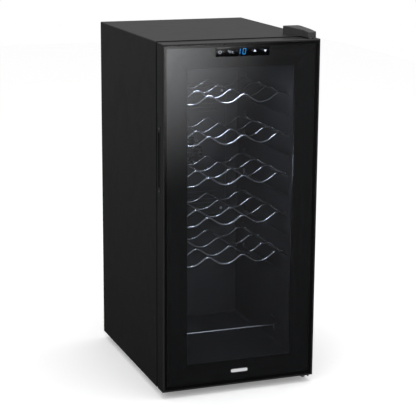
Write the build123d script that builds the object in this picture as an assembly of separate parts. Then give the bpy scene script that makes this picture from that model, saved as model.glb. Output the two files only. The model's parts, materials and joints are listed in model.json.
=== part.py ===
from build123d import *
import os

# A thermoelectric wine cooler: an insulated steel cabinet with a glazed door hung on its right side,
# five sliding wire shelves and a retaining rail.
# Millimetres. X runs to the viewer's right, Y from the door to the back, Z up.
# The origin is the centre of the footprint, on the floor.

# ---------------------------------------------------------------- overall sizes
WIDTH = 345.0  # over the cabinet's sides and the door
DEPTH = 450.0  # from the door's front to the tips of the wall spacers
HEIGHT = 770.0  # from the floor to the top of the hinge cover

FOOT_H = 15.0  # floor to the underside of the cabinet
COVER_H = 18.0  # hinge cover above the cabinet's top
SPACER_T = 7.0  # wall spacers behind the back panel
DOOR_T = 40.0  # door thickness without its gasket
SEAL_GAP = 3.0  # door's back to the cabinet's front, which the gasket fills
GASKET_PLAY = 0.2  # gasket face to the cabinet's front
TOP_GAP = 2.0  # door's top below the cabinet's top
WASHER_T = 0.5  # flange of the lower bush, which carries the door
RUN = 0.05  # radial and end clearance of a running fit

# ---------------------------------------------------------------- walls
SHEET = 1.0  # steel sheet
LINER_T = 2.0  # inner liner
SIDE_WALL = 37.5  # outer face to cavity, left and right
BASE_WALL = 40.0
TOP_WALL = 45.0
REAR_WALL = 75.0  # cavity back to the cabinet's back, with the cooling unit inside
SHELL_R = 2.5  # rounding of the cabinet's top corners
FLANGE = 10.0  # shell's front flange behind the strike frame

# ---------------------------------------------------------------- derived planes
HALF = WIDTH / 2
FRONT = -DEPTH / 2
CAB_FRONT = FRONT + DOOR_T + SEAL_GAP
CAB_BACK = DEPTH / 2 - SPACER_T
CAB_BOTTOM = FOOT_H
CAB_TOP = HEIGHT - COVER_H
DOOR_BACK = FRONT + DOOR_T
DOOR_BOTTOM = CAB_BOTTOM + WASHER_T
DOOR_TOP = CAB_TOP - TOP_GAP
CAV_X = HALF - SIDE_WALL
CAV_FRONT = CAB_FRONT + SHEET
CAV_BACK = CAB_BACK - REAR_WALL
CAV_BOTTOM = CAB_BOTTOM + BASE_WALL
CAV_TOP = CAB_TOP - TOP_WALL
CAV_R = 8.0  # rounding of the cavity's long corners

# ---------------------------------------------------------------- shelf grooves and shelves
GROOVES = 10  # pairs of grooves moulded in the side walls
GROOVE_PITCH = 43.9
GROOVE_H = 16.0
GROOVE_DEPTH = 6.5  # into the side wall
GROOVE_FRONT = CAB_FRONT + 17.0  # closed round end
GROOVE_BACK = CAV_BACK - 36.0
TOP_BAY = 85.5  # ceiling to the top groove's lip
TOP_LIP = CAV_TOP - TOP_BAY

SHELVES = 5  # one in every second groove, from the top
WIRE_R = 2.0
SHELF_PULL = 21.0  # travel until the side wires meet the grooves' front ends
SHELF_PLAY = 1.5  # side wire to the groove's wall
SHELF_FLOAT = 0.3  # side wire above the lip
WIRE_LIFT = 3.6  # wave wire above the side wire, a little less than a diameter for the weld
GROOVE_END_R = GROOVE_H * 0.45
SHELF_FRONT = GROOVE_FRONT + GROOVE_END_R + 0.5 + SHELF_PULL  # front tips of the side wires
SHELF_BACK = GROOVE_BACK - GROOVE_END_R - 1.0
WAVE_SPACING = 75.0  # between wave wires
WAVES = 4
TROUGHS = 3  # bottles side by side
WAVE_MARGIN = 15.0  # cavity wall to the outer bottle's place
CREST_Z = 3.0  # corner of the wave's path above the wire's ends
TROUGH_Z = -24.5
TROUGH_R = 35.0
CREST_R = 14.0
END_R = 12.0

RAIL_Z = 58.5  # lower rail above the cavity floor
RAIL_FRONT = CAB_FRONT + 36.0
RAIL_ARM = 52.0
RAIL_RISE = 5.0
RAIL_LEG = 14.0
RAIL_INSET = 7.0  # arms inside the cavity's sides
HOOK_REACH = 1.5  # hook into the liner's wall

# ---------------------------------------------------------------- door
FRAME_WALL = 3.5
FRAME_EDGE_R = 1.5
DOOR_REAR_R = 6.0  # rear upright edges, which clear the cabinet as the door turns
LINER_PLATE = 3.0
GLASS_T = 4.0
GLASS_PLAY = 0.5  # glass edge to frame, and glass face behind the frame's front
SEAT_W = 6.5  # ledge that carries the glass
SEAT_T = 2.5
PANE_GAP = 12.0
INNER_GLASS_T = 3.0
SPACER_W = 8.0
WIN_SIDE = 54.5  # door's side to the clear window
WIN_BOTTOM = 54.0
WIN_TOP = 52.0
WIN_X = HALF - WIN_SIDE
WIN_Z0 = DOOR_BOTTOM + WIN_BOTTOM
WIN_Z1 = DOOR_TOP - WIN_TOP
SPACER_SET = 2.0  # spacer outside the clear window
PANE_LAP = 12.0  # inner pane past the clear window
RETURN_SET = 4.0  # liner's return wall outside the clear window
RETURN_T = 2.5
GLASS_Y0 = FRONT + GLASS_PLAY
GLASS_Y1 = GLASS_Y0 + GLASS_T
SEAT_BACK = GLASS_Y1 + SEAT_T
PANE_Y0 = GLASS_Y1 + PANE_GAP
PANE_Y1 = PANE_Y0 + INNER_GLASS_T
FRAME_BACK = DOOR_BACK - LINER_PLATE

GASKET_W = 14.0
GASKET_SET = 3.0  # gasket outside the cavity's edge, on the strike frame
STRIKE_LAP = 1.0  # strike frame's edge outside the cavity's edge
STEM_W = 4.0
STEM_DEEP = 2.2
MAGNET_W = 8.0
MAGNET_T = 1.4

# ---------------------------------------------------------------- hinges
HINGE_X = HALF - 15.5
HINGE_Y = FRONT + 17.0
PIN_R = 3.0
BUSH_R = 5.0
BUSH_L = 14.0
BOSS = 10.0  # half width of the frame's hinge bosses
PLATE_T = 2.5
COVER_WALL = 2.0
NUT_H = 4.5

# ---------------------------------------------------------------- cooling unit
UNIT_Z = CAV_BOTTOM + 405.0  # height of the thermoelectric module
TEC = 40.0
TEC_T = 4.0
COLD_BASE = 4.0
COLD_FIN = 8.5
COLD_FAN = 80.0
COLD_FAN_T = 13.0
HOT_BASE = 5.0
HOT_FIN = 20.0
HOT_FAN = 92.0
HOT_FAN_T = 25.0
TRAY_T = 1.5
CHAMBER_X = 95.0
CHAMBER_Z0 = CAB_BOTTOM + 40.0
CHAMBER_Z1 = CAB_TOP - 75.0
FAN_Y1 = CAB_BACK - SHEET  # rear face of the hot fan
HOT_FAN_Y = FAN_Y1 - HOT_FAN_T  # front face of the hot fan, on the tips of the hot fins
TRAY_BACK = HOT_FAN_Y - HOT_FIN - HOT_BASE  # tray floor, where the hot sink sits
TRAY_FRONT = TRAY_BACK - TRAY_T
COVER_X = 95.0  # half width of the cold-side cover
COVER_Z = 150.0  # half height
COLD_COVER_T = 30.0
COLD_WALL = 2.0
COLD_SCREW_R = 1.75
COLD_SCREW_SET = 12.0  # cover's edges to its screws
COLD_FAN_Y = CAV_BACK - COLD_COVER_T + COLD_WALL
SINK_FIN_T = 1.2
COLD_SINK = (45.0, 60.0, 15)  # half width, half height and number of fins
HOT_SINK = (60.0, 75.0, 16)

# ---------------------------------------------------------------- fans and guard
HUB_GAP = 0.6  # rotor to the motor's base
SHAFT_R = 1.5
BASE_T = 3.0
BLADES = 7
BLADE_T = 1.4
BLADE_PITCH = 38.0  # degrees
TIP_GAP = 1.5  # blade tips to the frame's wall
FAN_HOLE_SET = 5.0  # fan's edges to its corner holes
FAN_WALL = 2.0
COLD_HUB = 15.0
HOT_HUB = 20.0
GRILLE_R = HOT_FAN / 2 - 4
GUARD_SCREW_R = 2.2
GUARD_R = 1.2
GUARD_RINGS = (11.0, 21.0, 31.0, 41.0)
EYE_R = 4.5
EYE_T = 2.2

# ---------------------------------------------------------------- back panel and mains side
VENT_ROWS = 9
VENT_PITCH = 9.0
VENT_L = 110.0
VENT_H = 4.0
VENT_LOW = CHAMBER_Z0 + 100.0  # lowest slot
PANEL_SCREW_R = 2.0
PANEL_SCREW_L = 12.0
PANEL_SCREW_SET = 14.0  # outside the rear chamber
INLET_X = -58.0
INLET_Z = CHAMBER_Z0 + 34.0
INLET_W = 28.0
INLET_H = 20.0
INLET_DEEP = 22.0
INLET_LIP = 6.0  # flange past the cut-out, left and right
INLET_LIP_Z = 3.0
INLET_T = 2.0
PSU_Z0 = CHAMBER_Z0 + 95.0
PSU_Z1 = PSU_Z0 + 110.0
PSU_X = 62.0
PSU_T = 1.6
PSU_LIFT = 8.0
LEAD_R = 2.0
LEAD_LIFT = 3.0  # leads' middle above the tray
SPACER_R = 9.0
SPACER_IN = 40.0  # from the cabinet's sides
SPACER_END = 60.0  # from its top and bottom

# ---------------------------------------------------------------- base and feet
PAN_FLANGE = 12.0
LINER_FLANGE_T = 2.0
TEC_PLAY = 1.0  # cold block to the hole it passes through
FOOT_X = HALF - 32.5
FOOT_FRONT = CAB_FRONT + 40.0
FOOT_REAR = CAB_BACK - 40.0
FOOT_R = 14.0
STUD_R = 4.0
STUD_TIP_R = 3.0
STUD_TOP = CAB_BOTTOM + 20.0
PAD_H = 8.5
PAD_FLOOR = 3.0  # rubber under the stud's tip
COLLAR_H = 4.5
COLLAR_R = 7.0
INSERT_R = 8.0
INSERT_H = 24.0

# ---------------------------------------------------------------- hinge cover, plate and bracket
COVER_BACK_Y = CAB_FRONT + 46.0
COVER_NOSE_Y = FRONT + 7.0
COVER_NOSE_W = 10.0  # half width of the nose
COVER_NOSE_H = 12.0  # height at the nose
PLATE_SET = 3.0  # hinge plate inside the cover's outline
HINGE_SCREW_R = 2.0
HINGE_SCREW_L = 9.0
HINGE_SCREWS = [(HINGE_X + dx, CAB_FRONT + dy) for dx, dy in ((-15, 34), (-3, 36), (-2, 16))]
BRACKET_BACK = CAB_FRONT + 20.0
BRACKET_SCREW_R = 2.0
BRACKET_SCREW_L = 10.0
BRACKET_SCREWS = [(HINGE_X + dx, CAB_FRONT + 11.0) for dx in (-26, -9, 8)]
STOP_W = 2.5

# ---------------------------------------------------------------- handle, controls and badge
HANDLE_Z = DOOR_TOP - 238.5  # middle of the finger slot
HANDLE_SLOT = 116.0
HANDLE_Y0 = FRONT + 19.0
HANDLE_Y1 = FRONT + 30.0
CUP_WALL = 2.0
CUP_DEEP = 16.0
CUP_END = 12.0  # flange past the slot's ends
CUP_SIDE = 4.0
RECESS = 1.2  # shallow recess in the frame's side
RECESS_Z0 = HANDLE_Z - 211.0
RECESS_Z1 = HANDLE_Z + 96.0
RECESS_Y0 = FRONT + 13.0
CUP_SCREW_R = 1.4
CUP_HEAD_R = 2.6
CUP_SCREW_L = 7.0
BOARD_X = 61.0
BOARD_H = 18.0
BOARD_T = 1.6
BOARD_PLAY = 0.5  # board's top below the glass ledge
BOARD_TOP = DOOR_TOP - FRAME_WALL - SEAT_W - BOARD_PLAY
BOARD_Y0 = GLASS_Y1 + 1.6
DISPLAY_W = 26.0
DISPLAY_H = 15.0
KEYS_X = (-50.0, -27.0, 27.0, 50.0)
KEY_R = 4.0
BADGE_W = 38.0
BADGE_H = 7.0
BADGE_Z = DOOR_BOTTOM + 31.0

# ---------------------------------------------------------------- lamp and sensor
LAMP_X = 60.0
LAMP_Y0 = CAB_FRONT + 16.0
LAMP_Y1 = LAMP_Y0 + 34.0
LAMP_T = 9.0
LAMP_WALL = 1.5
LAMP_BOARD_T = 1.2
LEDS = 7
LED_PITCH = 15.0
SENSOR_Y = CAV_BACK - 45.0
SENSOR_Z = CAV_TOP - 60.0


# ================================================================ helpers
def slab(x0, x1, y0, y1, z0, z1):
    """A block between two corners."""
    return Pos((x0 + x1) / 2, (y0 + y1) / 2, (z0 + z1) / 2) * Box(x1 - x0, y1 - y0, z1 - z0)


def rod(axis, x, y, z, radius, length):
    """A cylinder that starts at a point and runs along an axis."""
    turn = {"X": Rot(0, 90, 0), "Y": Rot(-90, 0, 0), "Z": Rot(0, 0, 0)}[axis]
    base = (Align.CENTER, Align.CENTER, Align.MIN)
    return Pos(x, y, z) * turn * Cylinder(radius, length, align=base)


def ring(half_in, z0_in, z1_in, width, y0, y1):
    """A rectangular frame around an opening, with the same width on all sides."""
    outer = slab(-half_in - width, half_in + width, y0, y1, z0_in - width, z1_in + width)
    return outer - slab(-half_in, half_in, y0 - 1, y1 + 1, z0_in, z1_in)


def rounded(block, axis, radius):
    """A block with its edges along one axis rounded."""
    return fillet(block.edges().filter_by(axis), radius)


def group(pieces):
    """Separate solids kept together in one node."""
    return Compound([solid for piece in pieces for solid in piece.solids()])


def wire(points, radii, radius=WIRE_R):
    """A bent wire: straight runs joined by arcs, one radius for each bend."""
    path = FilletPolyline(*points, radius=radii)
    section = Plane(origin=path @ 0, z_dir=path % 0) * Circle(radius)
    return sweep(section, path=path)


def mirrored(piece):
    """The same piece on the other side."""
    return mirror(piece, about=Plane.YZ)


def screw(x, y, z, axis, head_r, head_h, shank_r, shank_l):
    """A pan-head screw: its shank starts at the point and runs along axis, its head behind it."""
    back = {"+X": (-1, 0, 0), "+Y": (0, -1, 0), "-Y": (0, 1, 0), "+Z": (0, 0, -1), "-Z": (0, 0, 1)}
    plane = Plane(origin=(x, y, z), z_dir=back[axis])
    up = (Align.CENTER, Align.CENTER, Align.MIN)
    down = (Align.CENTER, Align.CENTER, Align.MAX)
    head = Cylinder(head_r, head_h, align=up)
    head = fillet(head.edges().group_by(Axis.Z)[-1], head_h * 0.4)
    long, thin = head_r * 1.1, head_r * 0.25
    slot = Pos(0, 0, head_h) * (Box(long, thin, head_h) + Box(thin, long, head_h))
    return plane * (head - slot + Cylinder(shank_r, shank_l, align=down))


# ================================================================ cabinet shell
def make_outer_shell():
    """Top and two sides bent from one sheet, with a flange behind the strike frame."""
    y0, y1 = CAB_FRONT + SHEET, CAB_BACK
    outer = slab(-HALF, HALF, y0, y1, CAB_BOTTOM, CAB_TOP)
    outer = fillet(outer.edges().filter_by(Axis.Y).group_by(Axis.Z)[-1], SHELL_R)
    inner = slab(-HALF + SHEET, HALF - SHEET, y0 - 1, y1 + 1, CAB_BOTTOM - SHELL_R, CAB_TOP - SHEET)
    inner = rounded(inner, Axis.Y, SHELL_R - SHEET)
    x = HALF - SHEET
    flange = slab(-x, x, y0, y0 + SHEET, CAB_BOTTOM + SHEET, CAB_TOP - SHEET)
    flange = fillet(flange.edges().filter_by(Axis.Y).group_by(Axis.Z)[-1], SHELL_R - SHEET)
    mouth = slab(-x + FLANGE, x - FLANGE, y0 - 1, y0 + 2, 0, CAB_TOP - SHEET - FLANGE)
    shell = outer - inner + (flange - mouth)
    for x, y in HINGE_SCREWS:
        shell -= rod("Z", x, y, CAB_TOP - SHEET - 1, HINGE_SCREW_R, SHEET + 2)
    return shell


def make_strike_frame():
    """Flat steel frame that the gasket's magnets pull on."""
    plate = slab(-HALF, HALF, CAB_FRONT, CAB_FRONT + SHEET, CAB_BOTTOM, CAB_TOP)
    plate = fillet(plate.edges().filter_by(Axis.Y).group_by(Axis.Z)[-1], SHELL_R)
    x, z0, z1 = CAV_X + STRIKE_LAP, CAV_BOTTOM - STRIKE_LAP, CAV_TOP + STRIKE_LAP
    mouth = slab(-x, x, CAB_FRONT - 1, CAB_FRONT + 2, z0, z1)
    return plate - rounded(mouth, Axis.Y, CAV_R)


def make_base_pan():
    """Floor of the cabinet, with turned-up sides."""
    x, y0, y1 = HALF - SHEET, CAB_FRONT + SHEET, CAB_BACK - SHEET
    pan = slab(-x, x, y0, y1, CAB_BOTTOM, CAB_BOTTOM + SHEET)
    side = slab(x - SHEET, x, y0 + 2 * SHEET, y1, CAB_BOTTOM, CAB_BOTTOM + PAN_FLANGE)
    pan = pan + side + mirrored(side)
    for foot_x in (-FOOT_X, FOOT_X):
        pan -= rod("Z", foot_x, FOOT_FRONT, CAB_BOTTOM - 1, STUD_R + 1, SHEET + 2)
    for x, y in BRACKET_SCREWS:
        pan -= rod("Z", x, y, CAB_BOTTOM - 1, BRACKET_SCREW_R, SHEET + 2)
    return pan


def panel_screw_places():
    """Back panel's screws: round the rear chamber."""
    x = CHAMBER_X + PANEL_SCREW_SET
    rows = (CHAMBER_Z0 + 20, (CHAMBER_Z0 + CHAMBER_Z1) / 2, CHAMBER_Z1 - 20)
    return [(side * x, z) for z in rows for side in (-1, 1)]


def fan_screw_places(size):
    """Corner holes of a square fan, from its centre."""
    half = size / 2 - FAN_HOLE_SET
    return [(x * half, z * half) for x in (-1, 1) for z in (-1, 1)]


def make_back_panel():
    """Rear sheet with the fan's opening, the air slots and the inlet's cut-out."""
    x, y0, y1 = HALF - SHEET, CAB_BACK - SHEET, CAB_BACK
    panel = slab(-x, x, y0, y1, CAB_BOTTOM + SHEET, CAB_TOP - SHEET)
    panel = fillet(panel.edges().filter_by(Axis.Y).group_by(Axis.Z)[-1], SHELL_R - SHEET)
    cuts = [rod("Y", 0, y0 - 1, UNIT_Z, GRILLE_R, SHEET + 2)]
    for row in range(VENT_ROWS):
        z = VENT_LOW + row * VENT_PITCH
        slot = slab(-VENT_L / 2, VENT_L / 2, y0 - 1, y1 + 1, z, z + VENT_H)
        cuts.append(rounded(slot, Axis.Y, VENT_H * 0.45))
    cuts.append(slab(INLET_X - INLET_W / 2, INLET_X + INLET_W / 2, y0 - 1, y1 + 1,
                     INLET_Z - INLET_H / 2, INLET_Z + INLET_H / 2))
    for px, pz in panel_screw_places():
        cuts.append(rod("Y", px, y0 - 1, pz, PANEL_SCREW_R, SHEET + 2))
    for fx, fz in fan_screw_places(HOT_FAN):
        cuts.append(rod("Y", fx, y0 - 1, UNIT_Z + fz, GUARD_SCREW_R, SHEET + 2))
    return panel - cuts


# ================================================================ inner liner
def groove_lips():
    """Heights of the grooves' lower lips, from the top down."""
    return [TOP_LIP - k * GROOVE_PITCH for k in range(GROOVES)]


def groove_block(lip, wall):
    """One groove's space in the right wall, grown by wall on every side."""
    height = GROOVE_H + 2 * wall
    x0, x1 = CAV_X - 1, CAV_X + GROOVE_DEPTH + wall
    block = slab(x0, x1, GROOVE_FRONT - wall, GROOVE_BACK + wall, lip - wall, lip - wall + height)
    return rounded(block, Axis.X, GROOVE_END_R + wall)


def cavity_block(wall):
    """The cavity, grown by wall at its back and sides."""
    x, y1 = CAV_X + wall, CAV_BACK + wall
    block = slab(-x, x, CAV_FRONT - (0 if wall else 1), y1, CAV_BOTTOM - wall, CAV_TOP + wall)
    block = rounded(block, Axis.Y, CAV_R + wall)
    return fillet(block.faces().sort_by(Axis.Y)[-1].edges(), CAV_R * 0.6 + wall)


def liner_envelope(wall):
    """The liner's outer or inner form, with all its grooves."""
    blocks = []
    for lip in groove_lips():
        block = groove_block(lip, wall)
        blocks += [block, mirrored(block)]
    return cavity_block(wall) + blocks


def rail_wall_points():
    """Where the lower rail's four ends enter the right wall, as (y, z)."""
    z = CAV_BOTTOM + RAIL_Z
    return [(RAIL_FRONT, z - RAIL_LEG), (RAIL_FRONT + RAIL_ARM, z + RAIL_RISE)]


def make_inner_liner():
    """Vacuum-formed cavity with its shelf grooves and front flange."""
    x, z0, z1 = HALF - SHEET - FLANGE, CAB_BOTTOM + 2 * SHEET, CAB_TOP - SHEET - FLANGE
    flange = slab(-x, x, CAV_FRONT, CAV_FRONT + LINER_FLANGE_T, z0, z1)
    liner = liner_envelope(LINER_T) + flange - liner_envelope(0)
    half = TEC / 2 + TEC_PLAY
    liner -= slab(-half, half, CAV_BACK - 1, CAV_BACK + LINER_T + 1, UNIT_Z - half, UNIT_Z + half)
    for y, z in rail_wall_points():
        liner -= rod("X", -CAV_X - LINER_T - 1, y, z, WIRE_R + 2 * RUN, 2 * CAV_X + 2 * LINER_T + 2)
    return liner


def make_insulation():
    """Foam between the shell, the liner and the rear chamber."""
    x, z0, z1 = HALF - SHEET, CAB_BOTTOM + SHEET, CAB_TOP - SHEET
    block = slab(-x, x, CAV_FRONT + LINER_FLANGE_T, CAB_BACK - SHEET, z0, z1)
    block = fillet(block.edges().filter_by(Axis.Y).group_by(Axis.Z)[-1], SHELL_R - SHEET)
    half = TEC / 2 + TEC_PLAY
    cuts = [liner_envelope(LINER_T), chamber_block(0)]
    cuts.append(slab(-half, half, CAV_BACK, TRAY_FRONT + 1, UNIT_Z - half, UNIT_Z + half))
    pan_side = slab(x - SHEET, x, CAB_FRONT, CAB_BACK, CAB_BOTTOM, CAB_BOTTOM + PAN_FLANGE)
    cuts += [pan_side, mirrored(pan_side)]
    for side in (-1, 1):
        cuts.append(rod("Z", side * FOOT_X, FOOT_FRONT, z0, INSERT_R, INSERT_H))
    for sx, sy in HINGE_SCREWS:
        cuts.append(rod("Z", sx, sy, z1 - HINGE_SCREW_L, HINGE_SCREW_R, HINGE_SCREW_L))
    for sx, sy in BRACKET_SCREWS:
        cuts.append(rod("Z", sx, sy, z0, BRACKET_SCREW_R, BRACKET_SCREW_L))
    for px, pz in panel_screw_places():
        cuts.append(rod("Y", px, CAB_BACK - SHEET - PANEL_SCREW_L, pz, PANEL_SCREW_R, PANEL_SCREW_L + 1))
    return block - cuts


# ================================================================ feet
def make_foot_pad(x):
    """Round rubber-faced pad that the stud turns in."""
    pad = rod("Z", x, FOOT_FRONT, 0, FOOT_R, PAD_H)
    pad = fillet(pad.edges().filter_by(GeomType.CIRCLE).group_by(Axis.Z)[-1], 2.0)
    return pad - rod("Z", x, FOOT_FRONT, PAD_FLOOR, STUD_TIP_R + RUN, PAD_H)


def make_foot_stud(x):
    """Threaded stud with a hexagon for the spanner."""
    collar_z = PAD_H + RUN
    tip = rod("Z", x, FOOT_FRONT, PAD_FLOOR + RUN, STUD_TIP_R, collar_z - PAD_FLOOR)
    hexagon = Pos(x, FOOT_FRONT, collar_z) * extrude(RegularPolygon(COLLAR_R, 6), COLLAR_H)
    shank = rod("Z", x, FOOT_FRONT, collar_z, STUD_R, STUD_TOP - collar_z)
    return tip + hexagon + shank


def make_foot_inserts():
    """Threaded bosses above the base pan, closed at the top."""
    pieces = []
    for x in (-FOOT_X, FOOT_X):
        boss = rod("Z", x, FOOT_FRONT, CAB_BOTTOM + SHEET, INSERT_R, INSERT_H)
        pieces.append(boss - rod("Z", x, FOOT_FRONT, CAB_BOTTOM, STUD_R + RUN, INSERT_H - 1))
    return group(pieces)


def make_rear_feet():
    pieces = []
    for x in (-FOOT_X, FOOT_X):
        foot = rod("Z", x, FOOT_REAR, 0, FOOT_R, FOOT_H)
        pieces.append(fillet(foot.edges().filter_by(GeomType.CIRCLE).group_by(Axis.Z)[0], 1.5))
    return group(pieces)


# ================================================================ hinges
def cover_outline(inset):
    """Plan of the hinge cover: a wedge that narrows to a rounded nose over the hinge pin."""
    x, nose = HINGE_X, COVER_NOSE_W - inset
    back = COVER_BACK_Y - inset
    step = CAB_FRONT - 10.0
    points = [(x - 35 + 1.3 * inset, back), (x + 3 - inset, back), (x + nose, step + 4),
              (x + nose, COVER_NOSE_Y + inset), (x - nose, COVER_NOSE_Y + inset), (x - nose, step)]
    face = make_face(Polyline(*points, close=True))
    nose_corners = face.vertices().group_by(Axis.Y)[0]
    face = fillet(nose_corners, nose * 0.6)
    return fillet(face.vertices().group_by(Axis.Y)[-1], 4.0 - inset * 0.5)


def cover_wedge(inset):
    """Side view of the cover: its top falls towards the nose."""
    drop = COVER_H - COVER_NOSE_H
    y0, y1 = COVER_NOSE_Y - 5, COVER_BACK_Y + 5
    slope = drop / (COVER_BACK_Y - COVER_NOSE_Y)
    z0 = CAB_TOP + COVER_NOSE_H - 5 * slope - inset
    flat = CAB_TOP + COVER_H - inset
    knee = COVER_BACK_Y - 14
    points = [(y0, CAB_TOP - 1), (y1, CAB_TOP - 1), (y1, flat), (knee, flat), (y0, z0)]
    side = Plane.YZ * make_face(Polyline(*points, close=True))
    return extrude(side, amount=HALF * 2, both=True)


def make_hinge_cover():
    outer = Pos(0, 0, CAB_TOP) * extrude(cover_outline(0), COVER_H) & cover_wedge(0)
    top = outer.faces().filter_by(lambda f: f.normal_at().Z > 0.5)
    outer = fillet(top.edges(), 1.5)
    inner = Pos(0, 0, CAB_TOP - 1) * extrude(cover_outline(COVER_WALL), COVER_H) & cover_wedge(COVER_WALL)
    return outer - (inner + Pos(0, 0, -1) * inner)


def make_hinge_plate():
    """Steel arm that carries the upper pin."""
    plate = Pos(0, 0, CAB_TOP) * extrude(cover_outline(PLATE_SET), PLATE_T)
    plate -= rod("Z", HINGE_X, HINGE_Y, CAB_TOP - 1, PIN_R, PLATE_T + 2)
    for x, y in HINGE_SCREWS:
        plate -= rod("Z", x, y, CAB_TOP - 1, HINGE_SCREW_R, PLATE_T + 2)
    return plate


def make_upper_pin():
    """Pin riveted in the hinge plate."""
    foot = DOOR_TOP - BUSH_L + 1
    head = rod("Z", HINGE_X, HINGE_Y, CAB_TOP + PLATE_T, PIN_R + 2, 2.0)
    head = fillet(head.edges().group_by(Axis.Z)[-1], 0.8)
    return head + rod("Z", HINGE_X, HINGE_Y, foot, PIN_R, CAB_TOP + PLATE_T - foot)


def make_hinge_screws():
    return group([screw(x, y, CAB_TOP + PLATE_T, "-Z", 4.0, 2.2, HINGE_SCREW_R, PLATE_T + HINGE_SCREW_L)
                  for x, y in HINGE_SCREWS])


def make_hinge_bracket():
    """Plate under the cabinet and the door, with a turned-down stop."""
    z0, z1 = CAB_BOTTOM - PLATE_T, CAB_BOTTOM
    x0, x1 = HINGE_X - 32, HALF - 1.5
    plate = slab(x0, x1, CAB_FRONT, BRACKET_BACK, z0, z1)
    arm = slab(HINGE_X - 9, x1, HINGE_Y - 9, CAB_FRONT + 1, z0, z1)
    arm = fillet(arm.edges().filter_by(Axis.Z).group_by(Axis.Y)[0], 7.0)
    tab = slab(x1 - STOP_W, x1, HINGE_Y - 1, HINGE_Y + 9, z0 - 6, z1)
    bracket = plate + arm + tab - rod("Z", HINGE_X, HINGE_Y, z0 - 1, PIN_R, PLATE_T + 2)
    for x, y in BRACKET_SCREWS:
        bracket -= rod("Z", x, y, z0 - 1, BRACKET_SCREW_R, PLATE_T + 2)
    return bracket


def make_lower_pin():
    """Pin with a nut under the bracket."""
    nut_z = CAB_BOTTOM - PLATE_T - NUT_H
    nut = Pos(HINGE_X, HINGE_Y, nut_z) * extrude(RegularPolygon(5.5, 6), NUT_H)
    top = DOOR_BOTTOM + BUSH_L - 1
    return nut + rod("Z", HINGE_X, HINGE_Y, nut_z - 1.5, PIN_R, top - nut_z + 1.5)


def make_bracket_screws():
    z = CAB_BOTTOM - PLATE_T
    return group([screw(x, y, z, "+Z", 4.0, 2.2, BRACKET_SCREW_R, PLATE_T + BRACKET_SCREW_L)
                  for x, y in BRACKET_SCREWS])


def make_upper_bush():
    bush = rod("Z", HINGE_X, HINGE_Y, DOOR_TOP - BUSH_L, BUSH_R, BUSH_L)
    return bush - rod("Z", HINGE_X, HINGE_Y, DOOR_TOP - BUSH_L - 1, PIN_R + RUN, BUSH_L + 2)


def make_lower_bush():
    """Bush with a flange that carries the door's weight."""
    z = CAB_BOTTOM + RUN
    bush = rod("Z", HINGE_X, HINGE_Y, z, BUSH_R + 2, DOOR_BOTTOM - z)
    bush += rod("Z", HINGE_X, HINGE_Y, DOOR_BOTTOM, BUSH_R, BUSH_L)
    return bush - rod("Z", HINGE_X, HINGE_Y, z - 1, PIN_R + RUN, BUSH_L + 3)


# ================================================================ door
def door_block(y0, y1):
    """A slice of the door's outer form, with rounded rear uprights."""
    block = slab(-HALF, HALF, FRONT, DOOR_BACK, DOOR_BOTTOM, DOOR_TOP)
    block = fillet(block.edges().filter_by(Axis.Z).group_by(Axis.Y)[-1], DOOR_REAR_R)
    block = fillet(block.faces().sort_by(Axis.Y)[0].edges(), FRAME_EDGE_R)
    return block & slab(-HALF, HALF, y0, y1, 0, HEIGHT)


def hinge_boss(z0, z1):
    return slab(HINGE_X - BOSS, HALF - FRAME_WALL, SEAT_BACK, HINGE_Y + BOSS, z0, z1)


def hinge_bosses():
    low, high = DOOR_BOTTOM + FRAME_WALL, DOOR_TOP - FRAME_WALL
    return [hinge_boss(low, low + BUSH_L), hinge_boss(high - BUSH_L, high)]


def cup_block():
    """Outer form of the finger cup behind its flange."""
    return slab(-HALF + RECESS, -HALF + RECESS + CUP_DEEP, HANDLE_Y0 - CUP_WALL, HANDLE_Y1 + CUP_WALL,
                HANDLE_Z - HANDLE_SLOT / 2 - CUP_WALL, HANDLE_Z + HANDLE_SLOT / 2 + CUP_WALL)


def cup_screw_places():
    y = (HANDLE_Y0 + HANDLE_Y1) / 2
    return [(y, HANDLE_Z + side * (HANDLE_SLOT / 2 + CUP_END / 2 + 1)) for side in (-1, 1)]


def make_door_frame():
    """Moulded surround that holds the glass, the handle cup and the hinge bushes."""
    x, z0, z1 = HALF - FRAME_WALL, DOOR_BOTTOM + FRAME_WALL, DOOR_TOP - FRAME_WALL
    frame = door_block(FRONT, FRAME_BACK)
    frame -= slab(-x, x, FRONT - 1, GLASS_Y1, z0, z1)
    frame -= slab(-x + SEAT_W, x - SEAT_W, GLASS_Y1 - 1, SEAT_BACK + 1, z0 + SEAT_W, z1 - SEAT_W)
    frame -= slab(-x, x, SEAT_BACK, DOOR_BACK, z0, z1)
    frame = frame + hinge_bosses()
    frame -= rod("Z", HINGE_X, HINGE_Y, DOOR_BOTTOM - 1, BUSH_R, BUSH_L + 1)
    frame -= rod("Z", HINGE_X, HINGE_Y, DOOR_TOP - BUSH_L, BUSH_R, BUSH_L + 1)
    recess = slab(-HALF - 1, -HALF + RECESS, RECESS_Y0, FRAME_BACK + 1, RECESS_Z0, RECESS_Z1)
    frame -= fillet(recess.edges().filter_by(Axis.X).group_by(Axis.Y)[0], 9.0)
    frame -= cup_block()
    for y, z in cup_screw_places():
        frame -= rod("X", -HALF, y, z, CUP_SCREW_R, FRAME_WALL + 1)
    return frame


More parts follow.
